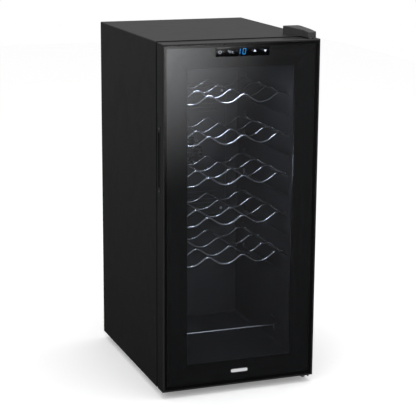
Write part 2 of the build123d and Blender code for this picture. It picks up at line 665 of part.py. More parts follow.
def make_door_liner():
    """Back skin of the door with its return wall to the inner pane and the gasket's groove."""
    x, z0, z1 = WIN_X + RETURN_SET, WIN_Z0 - RETURN_SET, WIN_Z1 + RETURN_SET
    liner = door_block(FRAME_BACK, DOOR_BACK)
    liner -= slab(-x, x, FRONT, DOOR_BACK + 1, z0, z1)
    liner = liner + ring(x, z0, z1, RETURN_T, PANE_Y1, FRAME_BACK)
    stem = GASKET_SET + (GASKET_W - STEM_W) / 2
    groove = ring(CAV_X + stem, CAV_BOTTOM - stem, CAV_TOP + stem, STEM_W, DOOR_BACK - STEM_DEEP, DOOR_BACK + 1)
    return liner - groove


def make_door_foam():
    """Foam that fills the door round the glazing."""
    x, z0, z1 = HALF - FRAME_WALL, DOOR_BOTTOM + FRAME_WALL, DOOR_TOP - FRAME_WALL
    foam = slab(-x, x, SEAT_BACK, FRAME_BACK, z0, z1)
    spacer = WIN_X + SPACER_SET + SPACER_W
    pane = WIN_X + PANE_LAP
    wall = WIN_X + RETURN_SET + RETURN_T
    cuts = hinge_bosses() + [cup_block()]
    cuts.append(slab(-spacer, spacer, FRONT, PANE_Y0, WIN_Z0 - spacer + WIN_X, WIN_Z1 + spacer - WIN_X))
    cuts.append(slab(-pane, pane, PANE_Y0, PANE_Y1, WIN_Z0 - PANE_LAP, WIN_Z1 + PANE_LAP))
    cuts.append(slab(-wall, wall, PANE_Y1, DOOR_BACK, WIN_Z0 - wall + WIN_X, WIN_Z1 + wall - WIN_X))
    cuts.append(slab(-BOARD_X - 1, BOARD_X + 1, FRONT, BOARD_Y0 + 6, BOARD_TOP - BOARD_H - 1, z1))
    for y, z in cup_screw_places():
        cuts.append(rod("X", -HALF + RECESS, y, z, CUP_SCREW_R, CUP_SCREW_L))
    return foam - cuts


def make_front_glass():
    x = HALF - FRAME_WALL - GLASS_PLAY
    z0, z1 = DOOR_BOTTOM + FRAME_WALL + GLASS_PLAY, DOOR_TOP - FRAME_WALL - GLASS_PLAY
    return slab(-x, x, GLASS_Y0, GLASS_Y1, z0, z1)


def make_glazing_spacer():
    return ring(WIN_X + SPACER_SET, WIN_Z0 - SPACER_SET, WIN_Z1 + SPACER_SET, SPACER_W, GLASS_Y1, PANE_Y0)


def make_inner_glass():
    x = WIN_X + PANE_LAP
    return slab(-x, x, PANE_Y0, PANE_Y1, WIN_Z0 - PANE_LAP, WIN_Z1 + PANE_LAP)


def gasket_ring(inset, width, y0, y1):
    """A ring that follows the gasket, inset from its inner edge."""
    set_out = GASKET_SET + inset
    return ring(CAV_X + set_out, CAV_BOTTOM - set_out, CAV_TOP + set_out, width, y0, y1)


def magnet_ring():
    y0 = DOOR_BACK + 0.8
    return gasket_ring((GASKET_W - MAGNET_W) / 2, MAGNET_W, y0, y0 + MAGNET_T)


def make_gasket():
    """Soft seal pressed into the liner's groove, with a bellows fold on each side."""
    y1 = DOOR_BACK + SEAL_GAP - GASKET_PLAY
    seal = gasket_ring(0, GASKET_W, DOOR_BACK, y1)
    seal += gasket_ring((GASKET_W - STEM_W) / 2, STEM_W, DOOR_BACK - STEM_DEEP, DOOR_BACK)
    fold = 1.2
    seal -= gasket_ring(0, fold, DOOR_BACK + 0.8, DOOR_BACK + 1.6)
    seal -= gasket_ring(GASKET_W - fold, fold, DOOR_BACK + 0.8, DOOR_BACK + 1.6)
    return seal - magnet_ring()


def make_handle_cup():
    """Finger cup let into the door's free edge."""
    x0, x1 = -HALF, -HALF + RECESS
    z0, z1 = HANDLE_Z - HANDLE_SLOT / 2, HANDLE_Z + HANDLE_SLOT / 2
    flange = slab(x0, x1, HANDLE_Y0 - CUP_SIDE, HANDLE_Y1 + CUP_SIDE, z0 - CUP_END, z1 + CUP_END)
    flange = rounded(flange, Axis.X, 4.0)
    slot = slab(x0 - 1, x1 + CUP_DEEP - CUP_WALL, HANDLE_Y0, HANDLE_Y1, z0, z1)
    cup = flange + cup_block() - rounded(slot, Axis.X, 4.0)
    for y, z in cup_screw_places():
        cup -= rod("X", x0 - 1, y, z, CUP_HEAD_R, RECESS + 1)
    return cup


def make_cup_screws():
    """Screws with heads flush in the cup's flange."""
    return group([screw(-HALF + RECESS, y, z, "+X", CUP_HEAD_R, RECESS * 0.9, CUP_SCREW_R, CUP_SCREW_L)
                  for y, z in cup_screw_places()])


def make_control_board():
    """Touch-control board behind the front glass."""
    z0, z1 = BOARD_TOP - BOARD_H, BOARD_TOP
    board = slab(-BOARD_X, BOARD_X, BOARD_Y0, BOARD_Y0 + BOARD_T, z0, z1)
    back = BOARD_Y0 + BOARD_T
    board += slab(-12, 4, back, back + 1.4, z0 + 3, z1 - 5)
    board += slab(-50, -34, back, back + 3.6, z0 + 4, z0 + 12)
    for k in range(6):
        board += slab(16 + 6 * k, 19 + 6 * k, back, back + 1.0, z0 + 5, z0 + 7)
    return board


def make_display():
    z = BOARD_TOP - BOARD_H / 2
    return slab(-DISPLAY_W / 2, DISPLAY_W / 2, GLASS_Y1, BOARD_Y0, z - DISPLAY_H / 2, z + DISPLAY_H / 2)


def make_touch_pads():
    z = BOARD_TOP - BOARD_H / 2
    return group([rod("Y", x, GLASS_Y1, z, KEY_R, BOARD_Y0 - GLASS_Y1) for x in KEYS_X])


def make_badge():
    """Plain trim bar on the glass."""
    half_h = BADGE_H / 2
    bar = slab(-BADGE_W / 2, BADGE_W / 2, FRONT, GLASS_Y0, BADGE_Z - half_h, BADGE_Z + half_h)
    return rounded(bar, Axis.Y, BADGE_H * 0.45)


# ================================================================ inside the cavity
def lamp_slab(inset, z0, z1):
    return slab(-LAMP_X + inset, LAMP_X - inset, LAMP_Y0 + inset, LAMP_Y1 - inset, z0, z1)


def make_lamp_housing():
    z0, z1 = CAV_TOP - LAMP_T, CAV_TOP
    return lamp_slab(0, z0, z1) - lamp_slab(LAMP_WALL, z0 - 1, z1 - LAMP_WALL)


def make_lamp_board():
    z1 = CAV_TOP - LAMP_WALL
    z0 = z1 - LAMP_BOARD_T
    board = lamp_slab(LAMP_WALL + 1, z0, z1)
    y = (LAMP_Y0 + LAMP_Y1) / 2
    for k in range(LEDS):
        x = (k - (LEDS - 1) / 2) * LED_PITCH
        board += slab(x - 2, x + 2, y - 2, y + 2, z0 - 1.2, z0)
    return board


def make_lamp_lens():
    z0 = CAV_TOP - LAMP_T
    return lamp_slab(LAMP_WALL, z0, z0 + LAMP_WALL)


def make_sensor():
    """Temperature sensor in its clip on the left wall."""
    x, y, z = -CAV_X, SENSOR_Y, SENSOR_Z
    clip = rounded(slab(x, x + 9, y - 12, y + 12, z - 5, z + 5), Axis.X, 2.0)
    clip -= slab(x + 2, x + 10, y - 6, y + 6, z - 6, z + 6)
    return clip + rod("Y", x + 5.5, y - 14, z, 2.5, 28)


def make_shelf(lip):
    """One wire shelf: two side wires that slide in the grooves, and waves that cradle three bottles."""
    z = lip + SHELF_FLOAT + WIRE_R
    side_x = CAV_X + GROOVE_DEPTH - SHELF_PLAY - WIRE_R
    side = rod("Y", side_x, SHELF_FRONT, z, WIRE_R, SHELF_BACK - SHELF_FRONT)
    shelf = side + mirrored(side)
    top = z + WIRE_LIFT
    pitch = 2 * (CAV_X - WAVE_MARGIN) / TROUGHS
    corners = []
    for k in range(TROUGHS):
        centre = (k - (TROUGHS - 1) / 2) * pitch
        corners.append((centre, TROUGH_Z, TROUGH_R))
        if k < TROUGHS - 1:
            corners.append((centre + pitch / 2, CREST_Z, CREST_R))
    run = pitch / 2 * -TROUGH_Z / (CREST_Z - TROUGH_Z)
    first = corners[0][0] - run
    corners = [(first, 0, END_R)] + corners + [(-first, 0, END_R)]
    tip = side_x + WIRE_R * 0.8
    for k in range(WAVES):
        y = SHELF_FRONT + WIRE_R + k * WAVE_SPACING
        points = [(-tip, y, top)] + [(x, y, top + dz) for x, dz, _ in corners] + [(tip, y, top)]
        shelf += wire(points, [r for _, _, r in corners])
    return shelf


def make_lower_rail():
    """Wire rail that keeps the bottom bottles from rolling forward."""
    x, z = CAV_X - RAIL_INSET, CAV_BOTTOM + RAIL_Z
    (leg_y, leg_z), (hook_y, hook_z) = rail_wall_points()
    reach = CAV_X + HOOK_REACH
    half = [(0, leg_y, z), (x, leg_y, z), (x, hook_y, hook_z), (reach, hook_y, hook_z)]
    points = [(-px, py, pz) for px, py, pz in reversed(half[1:])] + half[1:]
    rail = wire(points, [4.0, 9.0, 9.0, 4.0])
    leg = wire([(x - 16, leg_y, z), (x - 16, leg_y, leg_z), (reach, leg_y, leg_z)], [6.0])
    return rail + leg + mirrored(leg)


# ================================================================ cooling unit
def make_cold_cover():
    """Cover over the cold fan, with a round grille and slots that return the air."""
    y0, y1 = CAV_BACK - COLD_COVER_T, CAV_BACK
    z0, z1 = UNIT_Z - COVER_Z, UNIT_Z + COVER_Z
    cover = slab(-COVER_X, COVER_X, y0, y1, z0, z1)
    cover = fillet(cover.edges().filter_by(Axis.Y), 10.0)
    cover = fillet(cover.faces().sort_by(Axis.Y)[0].edges(), 3.0)
    x = COVER_X - COLD_WALL
    inner = slab(-x, x, y0 + COLD_WALL, y1 + 1, z0 + COLD_WALL, z1 - COLD_WALL)
    cover -= rounded(inner, Axis.Y, 8.0)
    reach = COLD_FAN / 2 - 4
    cuts = []
    for k in range(-4, 5):
        z = UNIT_Z + k * 8.0
        half = (reach ** 2 - (k * 8.0) ** 2) ** 0.5
        cuts.append(rounded(slab(-half, half, y0 - 1, y0 + COLD_WALL + 1, z - 2, z + 2), Axis.Y, 1.8))
    for side in (-1, 1):
        for k in range(5):
            z = UNIT_Z + side * (COVER_Z - 20 - 9 * k)
            slot = slab(-COVER_X + 25, COVER_X - 25, y0 - 1, y0 + COLD_WALL + 1, z - 2, z + 2)
            cuts.append(rounded(slot, Axis.Y, 1.8))
    for x, z in cold_cover_screws():
        cuts.append(rod("Y", x, y0 - 1, z, COLD_SCREW_R, COLD_WALL + 2))
    return cover - cuts


def cold_cover_screws():
    half_x, half_z = COVER_X - COLD_SCREW_SET, COVER_Z - COLD_SCREW_SET
    return [(x * half_x, UNIT_Z + z * half_z) for x in (-1, 1) for z in (-1, 1)]


def make_cold_cover_screws():
    y = CAV_BACK - COLD_COVER_T
    return group([screw(x, y, z, "+Y", 3.2, 1.8, COLD_SCREW_R, COLD_COVER_T)
                  for x, z in cold_cover_screws()])


def heat_sink(sizes, y_base, base, fin, direction):
    """A finned plate: direction is +1 with its fins towards the back, -1 towards the front."""
    half_x, half_z, fins = sizes
    lo, hi = sorted((y_base, y_base + direction * base))
    sink = slab(-half_x, half_x, lo, hi, UNIT_Z - half_z, UNIT_Z + half_z)
    root = y_base + direction * base
    lo, hi = sorted((root, root + direction * fin))
    for k in range(fins):
        x = (half_x - 1) * (2 * k / (fins - 1) - 1)
        sink += slab(x - SINK_FIN_T / 2, x + SINK_FIN_T / 2, lo, hi, UNIT_Z - half_z, UNIT_Z + half_z)
    return sink


def make_cold_sink():
    return heat_sink(COLD_SINK, CAV_BACK, COLD_BASE, COLD_FIN, -1)


def make_cold_block():
    """Aluminium block that takes the heat through the wall."""
    half = TEC / 2
    return slab(-half, half, CAV_BACK, TRAY_BACK - TEC_T, UNIT_Z - half, UNIT_Z + half)


def make_tec():
    half = TEC / 2
    return slab(-half, half, TRAY_BACK - TEC_T, TRAY_BACK, UNIT_Z - half, UNIT_Z + half)


def make_hot_sink():
    return heat_sink(HOT_SINK, TRAY_BACK, HOT_BASE, HOT_FIN, 1)


def fan_frame(size, thick, y0, hub_r, motor_side):
    """Square fan frame: motor_side is +1 where the motor's base is at the back, -1 at the front."""
    half = size / 2
    frame = rounded(slab(-half, half, y0, y0 + thick, UNIT_Z - half, UNIT_Z + half), Axis.Y, 4.0)
    frame -= rod("Y", 0, y0 - 1, UNIT_Z, half - FAN_WALL, thick + 2)
    base_y = y0 + thick - BASE_T if motor_side > 0 else y0
    for angle in (0, 60, 120):
        strut = Pos(0, base_y + BASE_T / 2, UNIT_Z) * Rot(0, angle, 0) * Box(size - 2, BASE_T, 3.5)
        frame += strut & rod("Y", 0, base_y, UNIT_Z, half - 1, BASE_T)
    frame += rod("Y", 0, base_y, UNIT_Z, hub_r, BASE_T)
    frame -= rod("Y", 0, base_y - 1, UNIT_Z, SHAFT_R + RUN, BASE_T + 2)
    for x, z in fan_screw_places(size):
        frame -= rod("Y", x, y0 - 1, UNIT_Z + z, GUARD_SCREW_R, thick + 2)
    return frame


def fan_rotor(size, thick, y0, hub_r, motor_side):
    """Hub, shaft and seven pitched blades."""
    length = thick - BASE_T - HUB_GAP - 1
    hub_y = y0 + 1 if motor_side > 0 else y0 + BASE_T + HUB_GAP
    hub = rod("Y", 0, hub_y, UNIT_Z, hub_r, length)
    face = hub.faces().sort_by(Axis.Y)[0 if motor_side > 0 else -1]
    rotor = fillet(face.edges(), 1.2)
    shaft_y = hub_y if motor_side > 0 else y0 + 0.5
    rotor += rod("Y", 0, shaft_y, UNIT_Z, SHAFT_R, length + HUB_GAP + BASE_T - 0.5)
    reach = size / 2 - FAN_WALL - TIP_GAP
    mid = (hub_r - 1.5 + reach) / 2
    for k in range(BLADES):
        blade = Pos(mid, 0, 0) * Rot(BLADE_PITCH, 0, 0) * Box(reach - hub_r + 1.5, BLADE_T, length * 0.9)
        rotor += Pos(0, hub_y + length / 2, UNIT_Z) * Rot(0, k * 360 / BLADES, 0) * blade
    limit = rod("Y", 0, y0 + 0.4, UNIT_Z, reach, thick - 0.8)
    keep = rod("Y", 0, hub_y, UNIT_Z, size, length) + rod("Y", 0, y0, UNIT_Z, 2 * SHAFT_R, thick)
    return rotor & limit & keep


def make_fan_guard():
    """Wire guard over the hot fan."""
    y = CAB_BACK + GUARD_R
    turn = Pos(0, y, UNIT_Z) * Rot(90, 0, 0)
    guard = turn * Torus(GUARD_RINGS[0], GUARD_R)
    for radius in GUARD_RINGS[1:]:
        guard += turn * Torus(radius, GUARD_R)
    half = HOT_FAN / 2 - FAN_HOLE_SET
    for sign in (-1, 1):
        length = 2 * (half * 2 ** 0.5 - EYE_R + 0.5)
        place = Pos(0, y + GUARD_R * 0.8, UNIT_Z) * Rot(0, sign * 45, 0) * Rot(0, 90, 0)
        guard += place * Cylinder(GUARD_R, length)
    for x, z in fan_screw_places(HOT_FAN):
        guard += rod("Y", x, CAB_BACK, UNIT_Z + z, EYE_R, EYE_T)
    for x, z in fan_screw_places(HOT_FAN):
        guard -= rod("Y", x, CAB_BACK - 1, UNIT_Z + z, GUARD_SCREW_R, 6)
    return guard


def make_guard_screws():
    """Screws through the guard and the panel into the fan's corners."""
    return group([screw(x, CAB_BACK + EYE_T, UNIT_Z + z, "-Y", 3.6, 2.0, GUARD_SCREW_R, 14.0)
                  for x, z in fan_screw_places(HOT_FAN)])


def chamber_block(inset):
    """The rear chamber's form, shrunk by inset on its walls."""
    x, y1 = CHAMBER_X - inset, CAB_BACK - SHEET + (1 if inset else 0)
    return slab(-x, x, TRAY_FRONT + inset, y1, CHAMBER_Z0 + inset, CHAMBER_Z1 - inset)


def make_chamber_tray():
    """Tray that separates the rear air chamber from the foam."""
    tray = chamber_block(0) - chamber_block(TRAY_T)
    half = TEC / 2 + TEC_PLAY
    return tray - slab(-half, half, TRAY_FRONT - 1, TRAY_BACK + 1, UNIT_Z - half, UNIT_Z + half)


def make_power_board():
    """Mains power board on four stand-offs, with its transformer, capacitors and heat spreader."""
    y = TRAY_BACK + PSU_LIFT
    board = slab(-PSU_X, PSU_X, y, y + PSU_T, PSU_Z0, PSU_Z1)
    for x in (-1, 1):
        for z in (PSU_Z0 + 6, PSU_Z1 - 6):
            board += rod("Y", x * (PSU_X - 6), TRAY_BACK, z, 3.0, PSU_LIFT)
    top = y + PSU_T
    board += slab(-22, 14, top, top + 24, PSU_Z0 + 40, PSU_Z0 + 72)
    board += slab(-52, -48, top, top + 22, PSU_Z0 + 20, PSU_Z0 + 84)
    board += slab(26, 30, top, top + 22, PSU_Z0 + 20, PSU_Z0 + 84)
    for x, z, r in ((42, 30, 7), (42, 52, 7), (-36, 24, 6), (-10, 20, 9), (-38, 90, 5), (46, 84, 6)):
        board += rod("Y", x, top, PSU_Z0 + z, r, 18)
    return board


def make_power_inlet():
    """Three-blade mains inlet in the back panel."""
    y, half_x, half_z = CAB_BACK, INLET_W / 2, INLET_H / 2
    body = slab(INLET_X - half_x, INLET_X + half_x, y - INLET_DEEP, y, INLET_Z - half_z, INLET_Z + half_z)
    half_x, half_z = half_x + INLET_LIP, half_z + INLET_LIP_Z
    flange = slab(INLET_X - half_x, INLET_X + half_x, y, y + INLET_T, INLET_Z - half_z, INLET_Z + half_z)
    inlet = body + rounded(flange, Axis.Y, 4.0)
    well = slab(INLET_X - 11.5, INLET_X + 11.5, y - 14, y + 3, INLET_Z - 7.5, INLET_Z + 7.5)
    inlet -= rounded(well, Axis.Y, 2.5)
    for dx, dz in ((-7, -2), (0, 2), (7, -2)):
        inlet += slab(INLET_X + dx - 1, INLET_X + dx + 1, y - 15, y - 3, INLET_Z + dz - 2, INLET_Z + dz + 2)
    return inlet


def make_harness():
    """Leads from the inlet to the power board and on to the hot fan, clipped along the tray."""
    x, y, start = INLET_X - 6, TRAY_BACK + LEAD_LIFT, CAB_BACK - INLET_DEEP
    side_x, sink_z = -PSU_X - 14, UNIT_Z - HOT_SINK[1] - 5
    route = [(x, start, INLET_Z), (x, y, INLET_Z), (x, y, PSU_Z0 - 12), (side_x, y, PSU_Z0 + 10),
             (side_x, y, sink_z - 16), (side_x + 22, y, sink_z), (side_x + 56, y, sink_z)]
    return wire(route, [6.0, 6.0, 12.0, 12.0, 8.0], LEAD_R)


def make_wall_spacers():
    """Rubber buffers that keep the back off the wall."""
    pieces = []
    for x in (-HALF + SPACER_IN, HALF - SPACER_IN):
        for z in (CAB_TOP - SPACER_END, CAB_BOTTOM + SPACER_END):
            buffer = rod("Y", x, CAB_BACK, z, SPACER_R, SPACER_T)
            pieces.append(fillet(buffer.faces().sort_by(Axis.Y)[-1].edges(), 2.0))
    return group(pieces)


def make_panel_screws():
    return group([screw(x, CAB_BACK, z, "-Y", 3.8, 2.0, PANEL_SCREW_R, SHEET + PANEL_SCREW_L)
                  for x, z in panel_screw_places()])


# ================================================================ the whole cooler
def build():
    """Every sub-part by name."""
    made = {
        "outer_shell": make_outer_shell(),
        "front_strike_frame": make_strike_frame(),
        "base_pan": make_base_pan(),
        "back_panel": make_back_panel(),
        "inner_liner": make_inner_liner(),
        "insulation_foam": make_insulation(),
        "foot_inserts": make_foot_inserts(),
        "rear_feet": make_rear_feet(),
        "top_hinge_plate": make_hinge_plate(),
        "top_hinge_pin": make_upper_pin(),
        "hinge_screws": group([make_hinge_screws(), make_bracket_screws()]),
        "top_hinge_cover": make_hinge_cover(),
        "bottom_hinge_bracket": make_hinge_bracket(),
        "bottom_hinge_pin": make_lower_pin(),
        "door_frame": make_door_frame(),
        "door_liner": make_door_liner(),
        "door_foam": make_door_foam(),
        "front_glass": make_front_glass(),
        "glazing_spacer": make_glazing_spacer(),
        "inner_glass": make_inner_glass(),
        "door_gasket": make_gasket(),
        "gasket_magnets": magnet_ring(),
        "upper_hinge_bush": make_upper_bush(),
        "lower_hinge_bush": make_lower_bush(),
        "handle_cup": make_handle_cup(),
        "handle_screws": make_cup_screws(),
        "control_board": make_control_board(),
        "display_module": make_display(),
        "touch_pads": make_touch_pads(),
        "trim_badge": make_badge(),
        "lamp_housing": make_lamp_housing(),
        "lamp_board": make_lamp_board(),
        "lamp_lens": make_lamp_lens(),
        "temperature_sensor": make_sensor(),
        "lower_rail": make_lower_rail(),
        "cold_side_cover": make_cold_cover(),
        "cold_fan_frame": fan_frame(COLD_FAN, COLD_FAN_T, COLD_FAN_Y, COLD_HUB, 1),
        "cold_fan_rotor": fan_rotor(COLD_FAN, COLD_FAN_T, COLD_FAN_Y, COLD_HUB, 1),
        "cold_heat_sink": make_cold_sink(),
        "cold_block": make_cold_block(),
        "peltier_module": make_tec(),
        "hot_heat_sink": make_hot_sink(),
        "hot_fan_frame": fan_frame(HOT_FAN, HOT_FAN_T, HOT_FAN_Y, HOT_HUB, -1),
        "hot_fan_rotor": fan_rotor(HOT_FAN, HOT_FAN_T, HOT_FAN_Y, HOT_HUB, -1),
        "fan_guard": make_fan_guard(),
        "rear_chamber_tray": make_chamber_tray(),
        "power_board": make_power_board(),
        "power_inlet": make_power_inlet(),
        "wiring_harness": make_harness(),
        "wall_spacers": make_wall_spacers(),
        "panel_screws": group([make_panel_screws(), make_guard_screws(), make_cold_cover_screws()]),
    }
    for name, x in (("left", -FOOT_X), ("right", FOOT_X)):
        made[name + "_foot_pad"] = make_foot_pad(x)
        made[name + "_foot_stud"] = make_foot_stud(x)
    for number in range(SHELVES):
        made[f"shelf_{number + 1}"] = make_shelf(groove_lips()[2 * number])
    return made


os.makedirs("parts", exist_ok=True)
for name, solid in build().items():
    export_step(solid, f"parts/{name}.step")
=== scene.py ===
"""A wine cooler with a glazed door, built round its fixed frame. Metres; X to the right, Y to the back, Z up."""

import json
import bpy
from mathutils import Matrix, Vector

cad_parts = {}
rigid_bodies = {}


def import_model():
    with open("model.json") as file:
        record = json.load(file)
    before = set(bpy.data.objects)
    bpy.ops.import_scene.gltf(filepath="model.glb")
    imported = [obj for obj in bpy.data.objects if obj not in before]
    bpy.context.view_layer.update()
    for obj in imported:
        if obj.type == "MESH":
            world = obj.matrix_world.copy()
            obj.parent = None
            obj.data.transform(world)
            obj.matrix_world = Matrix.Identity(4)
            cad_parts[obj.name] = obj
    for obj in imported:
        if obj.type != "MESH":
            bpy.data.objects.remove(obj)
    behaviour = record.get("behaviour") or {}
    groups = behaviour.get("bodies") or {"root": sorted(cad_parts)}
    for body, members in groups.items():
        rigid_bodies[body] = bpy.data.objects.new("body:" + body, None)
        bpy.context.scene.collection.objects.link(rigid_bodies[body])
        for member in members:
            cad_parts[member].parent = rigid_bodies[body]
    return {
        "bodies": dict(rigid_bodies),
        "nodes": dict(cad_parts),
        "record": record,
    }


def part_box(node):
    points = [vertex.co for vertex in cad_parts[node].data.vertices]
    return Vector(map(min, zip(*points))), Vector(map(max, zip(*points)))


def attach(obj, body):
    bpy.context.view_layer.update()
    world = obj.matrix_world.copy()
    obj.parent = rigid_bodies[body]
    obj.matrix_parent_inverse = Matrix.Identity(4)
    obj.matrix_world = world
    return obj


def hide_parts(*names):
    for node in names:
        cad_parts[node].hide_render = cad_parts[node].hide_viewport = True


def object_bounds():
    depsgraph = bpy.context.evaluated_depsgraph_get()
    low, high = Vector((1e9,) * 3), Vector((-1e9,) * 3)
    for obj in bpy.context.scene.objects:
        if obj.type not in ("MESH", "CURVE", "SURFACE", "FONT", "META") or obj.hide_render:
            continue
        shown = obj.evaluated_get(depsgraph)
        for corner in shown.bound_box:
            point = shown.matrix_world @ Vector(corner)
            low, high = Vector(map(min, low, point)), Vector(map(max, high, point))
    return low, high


bl_info = {
    "name": "Wine Cooler",
    "version": (1, 0, 0),
    "blender": (4, 5, 0),
    "location": "3D View > Sidebar > Cooler",
    "description": "Glazing, display, seal, wire shelves, fans and finishes of a thermoelectric wine cooler",
    "category": "Add Mesh",
}

from math import cos, pi, radians, sin

import bmesh
import bpy
import numpy as np
from mathutils import Matrix, Vector

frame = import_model()
CAD_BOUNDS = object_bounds()
GLASS_LO, GLASS_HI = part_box("front_glass")
BOARD_LO, BOARD_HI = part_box("control_board")
SPACER_LO, SPACER_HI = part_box("glazing_spacer")


# ---------------------------------------------------------------- sizes and colours a user would change
def length(name, description, default, low, high):
    """A length in metres between two limits."""
    return bpy.props.FloatProperty(
        name=name, description=description, default=default, min=low, max=high, unit="LENGTH")


def colour(name, description, default):
    """A linear colour."""
    return bpy.props.FloatVectorProperty(
        name=name, description=description, default=default, min=0.0, max=1.0, subtype="COLOR")


def angle(name, description, degrees):
    """An angle, stated in degrees."""
    return bpy.props.FloatProperty(name=name, description=description, default=radians(degrees), subtype="ANGLE")


class CoolerSizes(bpy.types.PropertyGroup):
    window_margin: length("Window margin", "Glazing spacer's outer edge to the clear window", 0.010, 0.004, 0.03)
    window_radius: length("Window corner", "Rounding of the clear window's corners", 0.0015, 0.0002, 0.02)
    print_thickness: length("Print thickness", "Black print behind the front glass", 0.0001, 0.00005, 0.0005)
    bar_width: length("Bar width", "Width of the bar between the two panes", 0.008, 0.005, 0.009)
    panel_width: length("Panel width", "Width of the dark control panel on the glass", 0.117, 0.06, 0.2)
    panel_height: length("Panel height", "Height of the dark control panel on the glass", 0.0196, 0.01, 0.04)
    digit_height: length("Digit height", "Height of the lit temperature digits", 0.0112, 0.005, 0.02)
    bottle_pitch: length("Bottle pitch", "Distance between two cradles of a shelf", 0.080, 0.06, 0.1)
    wire_radius: length("Wire radius", "Radius of the shelf and rail wires", 0.002, 0.001, 0.004)


class CoolerColours(bpy.types.PropertyGroup):
    steel: colour("Cabinet", "Powder coat of the cabinet", (0.0095, 0.0096, 0.0098))
    moulding: colour("Mouldings", "Black plastic of the door frame", (0.0105, 0.0106, 0.0108))
    # The hinge cover's black is set lighter than the mouldings' as painted sheen, standing in for the light its
    # sloped top and rounded end reflect.
    cover: colour("Hinge cover", "Black plastic of the hinge cover", (0.040, 0.040, 0.041))
    liner: colour("Cavity", "Plastic of the cavity and the door's inside", (0.034, 0.034, 0.037))
    print_black: colour("Glass print", "Print round the window", (0.0014, 0.0015, 0.0016))
    digits: colour("Digits", "Light of the temperature digits", (0.012, 0.19, 0.50))
    icons: colour("Key marks", "Light of the key marks", (0.52, 0.56, 0.66))
    lamp: colour("Cavity lamp", "Light of the lamp in the ceiling", (0.82, 0.87, 1.0))


class CoolerStage(bpy.types.PropertyGroup):
    azimuth: angle("Azimuth", "Camera's turn round the cooler, from straight in front", -20.42)
    elevation: angle("Elevation", "Camera's angle above level", 13.39)
    roll: angle("Roll", "Camera's turn about its own axis", 0.38)
    distance: length("Distance", "Camera to its aim", 3.151, 1.0, 10.0)
    aim_height: length("Aim height", "Height of the camera's aim", 0.3519, 0.0, 1.0)
    lens: bpy.props.FloatProperty(
        name="Lens", description="Focal length in millimetres on a 36 mm sensor", default=121.67, min=20.0, max=300.0)
    lamp_power: bpy.props.FloatProperty(
        name="Lamp power", description="Watts of the light under the ceiling lamp", default=0.18, min=0.0, max=20.0)


# ---------------------------------------------------------------- meshes from arrays
def mesh_object(name, points, faces):
    """An object from an (n, 3) array of points and a list of (m, k) arrays of faces with k corners each."""
    sizes = np.concatenate([np.full(len(f), f.shape[1]) for f in faces])
    corners = np.concatenate([f.ravel() for f in faces]).astype(np.int32)
    mesh = bpy.data.meshes.new(name)
    mesh.vertices.add(len(points))
    mesh.vertices.foreach_set("co", np.ascontiguousarray(points, dtype=np.float32).ravel())
    mesh.loops.add(len(corners))
    mesh.loops.foreach_set("vertex_index", corners)
    mesh.polygons.add(len(sizes))
    starts = np.concatenate([[0], np.cumsum(sizes)[:-1]]).astype(np.int32)
    mesh.polygons.foreach_set("loop_start", starts)
    mesh.polygons.foreach_set("loop_total", sizes.astype(np.int32))
    mesh.update(calc_edges=True)
    mesh.validate()
    obj = bpy.data.objects.new(name, mesh)
    bpy.context.scene.collection.objects.link(obj)
    return obj


def grid_faces(rows, columns, wrap_rows, wrap_columns):
    """Quads of a rows by columns grid of points, numbered row by row.

    A wrapped side joins its last line to its first.
    """
    r = np.arange(rows if wrap_rows else rows - 1)[:, None]
    c = np.arange(columns if wrap_columns else columns - 1)[None, :]
    r1, c1 = (r + 1) % rows, (c + 1) % columns
    quads = np.stack([r * columns + c, r * columns + c1, r1 * columns + c1, r1 * columns + c], axis=-1)
    return quads.reshape(-1, 4)


def swept(path, reference, profile, closed_path):
    """(points, faces) of a closed profile carried along a path.

    At each path point the frame is the tangent t, the side s = t x reference and the lift u = s x t, all of unit
    length. A profile point (a, b) lands on path + a * s + b * u. An open path gets a flat cap at each end.
    """
    if closed_path:
        tangent = np.roll(path, -1, axis=0) - np.roll(path, 1, axis=0)
    else:
        tangent = np.gradient(path, axis=0)
    tangent /= np.linalg.norm(tangent, axis=1, keepdims=True)
    side = np.cross(tangent, np.asarray(reference, float))
    side /= np.linalg.norm(side, axis=1, keepdims=True)
    lift = np.cross(side, tangent)
    points = path[:, None, :] + profile[None, :, :1] * side[:, None, :] + profile[None, :, 1:] * lift[:, None, :]
    rows, columns = len(path), len(profile)
    faces = [grid_faces(rows, columns, closed_path, True)]
    if not closed_path:
        faces.append(np.arange(columns)[None, ::-1])
        faces.append(((rows - 1) * columns + np.arange(columns))[None, :])
    return points.reshape(-1, 3), faces


def circle(radius, sides):
    """Points (r cos t, r sin t) round a circle."""
    t = np.arange(sides) * 2 * pi / sides
    return np.stack([radius * np.cos(t), radius * np.sin(t)], axis=1)


def joined(name, parts):
    """One object from several (points, faces) pairs."""
    points, faces, start = [], [], 0
    for more_points, more_faces in parts:
        points.append(more_points)
        faces += [f + start for f in more_faces]
        start += len(more_points)
    widths = sorted({f.shape[1] for f in faces})
    grouped = [np.concatenate([f for f in faces if f.shape[1] == w]) for w in widths]
    obj = mesh_object(name, np.concatenate(points), grouped)
    face_outwards(obj)
    return obj


def face_outwards(obj):
    """Turns every closed shell's faces outwards."""
    work = bmesh.new()
    work.from_mesh(obj.data)
    bmesh.ops.recalc_face_normals(work, faces=work.faces)
    work.to_mesh(obj.data)
    work.free()


def smooth(obj):
    """Smooth shading with creases kept where faces meet at more than 35 degrees."""
    with bpy.context.temp_override(object=obj, active_object=obj, selected_editable_objects=[obj]):
        obj.data.shade_smooth()
    obj.data.set_sharp_from_angle(angle=radians(35))


